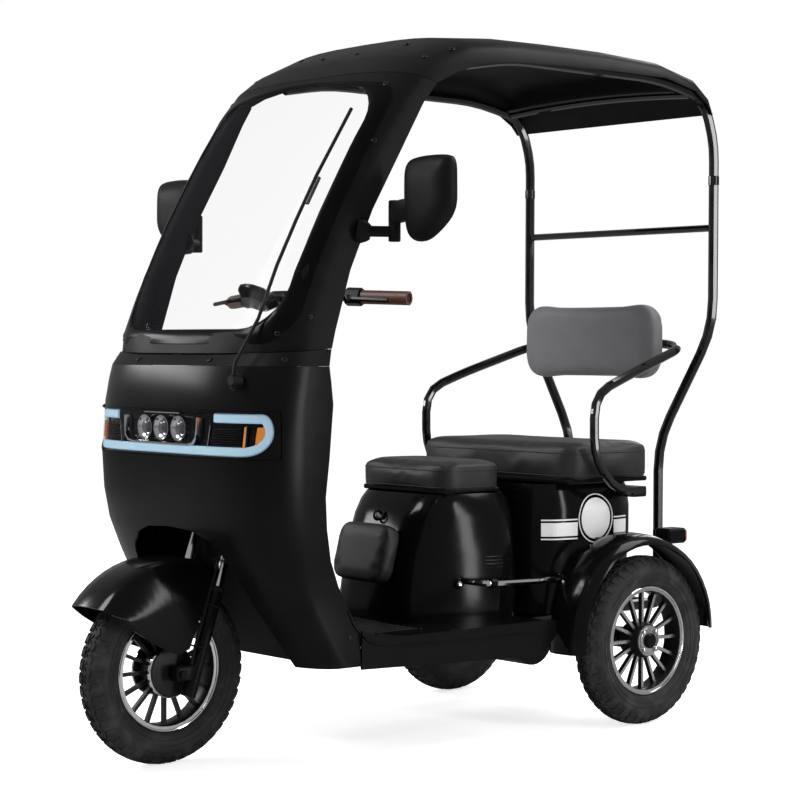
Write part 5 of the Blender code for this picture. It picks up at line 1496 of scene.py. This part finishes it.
# %% Make the floor trim
RIBS = 22
MAT_HALF = 0.225
MAT_FRONT, MAT_REAR = station(0.385), station(0.555)
MAT_STEPS = 4
LIP_STEPS = 12
FLOOR_SCREWS = ((371.5, 627.0), (421.0, 629.0), (453.0, 629.5), (496.0, 627.0))
LIP_PIXELS = (
    (348, 611), (353, 624), (360, 635), (370, 642), (382, 645.5), (393, 646.5), (420, 644.5), (450, 642.0),
    (480, 639.0), (510, 636.0), (535, 633.0),
)
floor_skin = Skin("floor_tray")
shell_skin = Skin("front_shell")
ribs = []
for k in range(RIBS):
    x = -MAT_HALF + 2 * MAT_HALF * k / (RIBS - 1)
    rows = [MAT_FRONT + (MAT_REAR - MAT_FRONT) * s / MAT_STEPS for s in range(MAT_STEPS + 1)]
    spots = [floor_skin.top(x, y) for y in rows]
    ribs.append(strip("rib", [s for s in spots if s], 0.0070, 0.0012, 0.0006, edge=0.6))
finished(smooth(join("mat_ribs", ribs), 60.0), "chassis", "rubber", "rubber")
lips = []
for side in (1, -1):
    x = side * (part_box("floor_tray")[1].x - 0.0030)
    spots = [floor_skin.top(x, station(0.345 + 0.550 * s / LIP_STEPS)) for s in range(LIP_STEPS + 1)]
    lips.append(strip("lip", [s for s in spots if s], 0.0085, 0.0035, 0.0020, edge=0.5))
finished(smooth(join("floor_lips", lips), 60.0), "chassis", "satin_black", "satin_black")
screws("floor_screws", floor_skin, FLOOR_SCREWS, 0.5)
screws("skirt_screws", shell_skin, ((350, 638),), 0.8)
level_spots = []
for u, v in along(LIP_PIXELS, 4):
    seen = [spot[0] for spot in (shell_skin.photo(u, v), floor_skin.photo(u, v)) if spot]
    if seen:
        nearest = min(seen, key=lambda place: (place - CAMERA_PLACE).length)
        level_spots.append((nearest, Vector((1.0, 0.0, 0.0))))
near_lip = smooth(strip("side_lip_left", level_spots, 0.0085, 0.0034, 0.0060, edge=0.35), 60.0)
pair(near_lip, "side_lip", "satin_black", "satin_black")
print("lip spots:", len(level_spots))

# %% Make the rail clamps and the rear lamp lenses
CLAMP = ((0.0078, 0.0), (0.0118, 0.0), (0.0118, 0.0160), (0.0078, 0.0160), (0.0078, 0.0))
RAIL_RADIUS = 0.0075
clamps = []
for node, side in (("side_rail_left", 1), ("side_rail_right", -1)):
    low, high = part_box(node)
    x = (high.x if side > 0 else low.x) - side * RAIL_RADIUS
    for y, z in ((low.y + 0.030, 0.371), (high.y - 0.030, 0.363)):
        clamps.append(turned(CLAMP, 28, (x, y - 0.008, z - 0.0004), (0.0, 1.0, 0.0)))
finished(join("rail_clamps", clamps), "chassis", "satin_black", "satin_black")
lenses = []
for node in ("tail_lamp_left", "tail_lamp_right"):
    low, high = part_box(node)
    SHOWN[node].data.materials[0] = FINISHES["satin_black"].material
    lens = rounded_plate(high.x - low.x - 0.006, high.z - low.z - 0.008, 0.005, 0.006)
    middle = middle_of(node)
    lenses.append(stand(lens, (middle.x, high.y, middle.z), (0.0, 1.0, 0.0), 0.001))
finished(join("tail_lenses", lenses), "chassis", "tail_lamp", "tail_lamp")
print("floor, rails and lamps ready")

# %% [markdown]
# ## Sleeves, roof bracket and wiper
#
# The uprights are tubes joined by short sleeves, the roof is screwed to a flat arched bracket under its
# rear edge, and the wiper has a pivot cap in a rubber ring and a yoke over its blade.

# %% Make the sleeves, the roof bracket and the wiper's parts
UPRIGHT_RADIUS = 0.0125
SLEEVE_Z = 1.341
SLEEVE = ((0.0126, 0.0), (0.0139, 0.0008), (0.0139, 0.0230), (0.0126, 0.0238), (0.0126, 0.0))
PIVOT = ((0.0, 0.0), (0.0170, 0.0), (0.0170, 0.0060), (0.0120, 0.0100), (0.0, 0.0115))
PIVOT_RING = ((0.0172, 0.0), (0.0195, 0.0), (0.0195, 0.0022), (0.0172, 0.0022), (0.0172, 0.0))
YOKE_Z = (1.232, 1.262, 1.292)
sleeves = []
for node in ("upright_left", "upright_right"):
    low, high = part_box(node)
    x = high.x - UPRIGHT_RADIUS if "left" in node else low.x + UPRIGHT_RADIUS
    sleeves.append(turned(SLEEVE, 32, (x, high.y - UPRIGHT_RADIUS, SLEEVE_Z), (0.0, 0.0, 1.0)))
finished(join("upright_sleeves", sleeves), "chassis", "frame_paint", "frame_paint")
bar_low, bar_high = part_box("roof_crossbar")
spots = []
for i in range(17):
    x = (bar_high.x - 0.02) * (1 - i / 8)
    drop = 0.004 + 0.012 * (x / bar_high.x) ** 2
    spots.append((Vector((x, bar_low.y - 0.014, bar_high.z - drop)), Vector((0.0, 0.0, -1.0))))
bracket_plate = smooth(strip("roof_bracket", spots, 0.034, 0.0016, 0.0016), 60.0)
finished(bracket_plate, "chassis", "frame_paint", "satin_black")
pivot, pivot_out = nose_skin.photo(236, 382)
yoke_spots = [frame_skin.front(middle_of("wiper").x, z) for z in YOKE_Z]
yoke = strip("yoke", lowered(yoke_spots, -0.008), 0.0150, 0.0045, 0.0020, edge=0.7)
parts = [
    turned(PIVOT, 32, pivot, pivot_out, 0.002),
    turned(PIVOT_RING, 32, pivot, pivot_out, 0.0008, "rubber"),
    dress(smooth(yoke, 60.0), "satin_black"),
]
finished(join("wiper_parts", parts), "chassis", "rubber")
print("wiper ready")

# %% [markdown]
# ## The floor, the lamps and the white studio
#
# The photograph has a pure white ground. The floor is a plain white plane that still keeps the shadows.
# The world is white only where the camera looks at it, directly or through clear plastic, and the floor is
# darker in reflections, so the object isn't flooded with light. Large soft lamps give the long highlights
# that show a black shape.

# %% Build the studio
world = bpy.data.worlds.new("studio")
bpy.context.scene.world = world
world.use_nodes = True
sky = world.node_tree
backdrop = sky.nodes["Background"]
backdrop.inputs["Color"].default_value = (1.0, 1.0, 1.0, 1.0)
path = sky.nodes.new("ShaderNodeLightPath")
seen = sky.nodes.new("ShaderNodeMath")
seen.operation = "MAXIMUM"
sky.links.new(path.outputs["Is Camera Ray"], seen.inputs[0])
sky.links.new(path.outputs["Is Transmission Ray"], seen.inputs[1])
strength = sky.nodes.new("ShaderNodeMapRange")
sky.links.new(seen.outputs[0], strength.inputs["Value"])
strength.inputs["To Min"].default_value = 0.36
strength.inputs["To Max"].default_value = 1.0
sky.links.new(strength.outputs[0], backdrop.inputs["Strength"])

bpy.ops.object.select_all(action="DESELECT")
bpy.ops.mesh.primitive_plane_add(size=40.0, location=(0.0, 0.0, 0.0))
floor = bpy.context.object
floor.name = "studio_floor"
ground = Finish("studio_floor", (0.93, 0.93, 0.93), 0.9)
ground.set("Emission Color", (1.0, 1.0, 1.0, 1.0))
ground.set("Emission Strength", ground.node("ShaderNodeLightPath", output="Is Camera Ray") * 0.72)
ground.set("Base Color", ground.node("ShaderNodeLightPath", output="Is Glossy Ray") * -0.58 + 0.93)
floor.data.materials.append(ground.material)


def soft_lamp(name, place, aim, size, power):
    data = bpy.data.lights.new(name, "AREA")
    data.shape = "RECTANGLE"
    data.size, data.size_y = size
    data.energy = power
    direction = Vector(aim) - Vector(place)
    turn = direction.to_track_quat("-Z", "Y").to_matrix().to_4x4()
    added(name, data).matrix_world = Matrix.Translation(place) @ turn


soft_lamp("key", (-1.8, -3.2, 4.0), (0.0, -0.4, 0.7), (1.6, 1.6), 170.0)
soft_lamp("side", (3.6, 1.2, 1.5), (0.0, 0.0, 0.7), (0.45, 3.0), 62.0)
soft_lamp("cowl", (-2.6, -2.1, 1.9), (0.0, -0.6, 0.9), (1.8, 0.5), 45.0)
soft_lamp("rear", (-1.6, 3.6, 2.2), (0.0, 0.0, 0.7), (0.8, 2.4), 20.0)
soft_lamp("top", (1.2, 1.9, 3.3), (0.0, 0.0, 0.5), (1.8, 1.8), 75.0)
bpy.context.scene.view_settings.view_transform = "Standard"
print("studio ready")

# %% [markdown]
# ## Finish
#
# The hidden screw that served as a pattern is removed.

# %% Remove the screw pattern
bpy.data.objects.remove(SCREW)
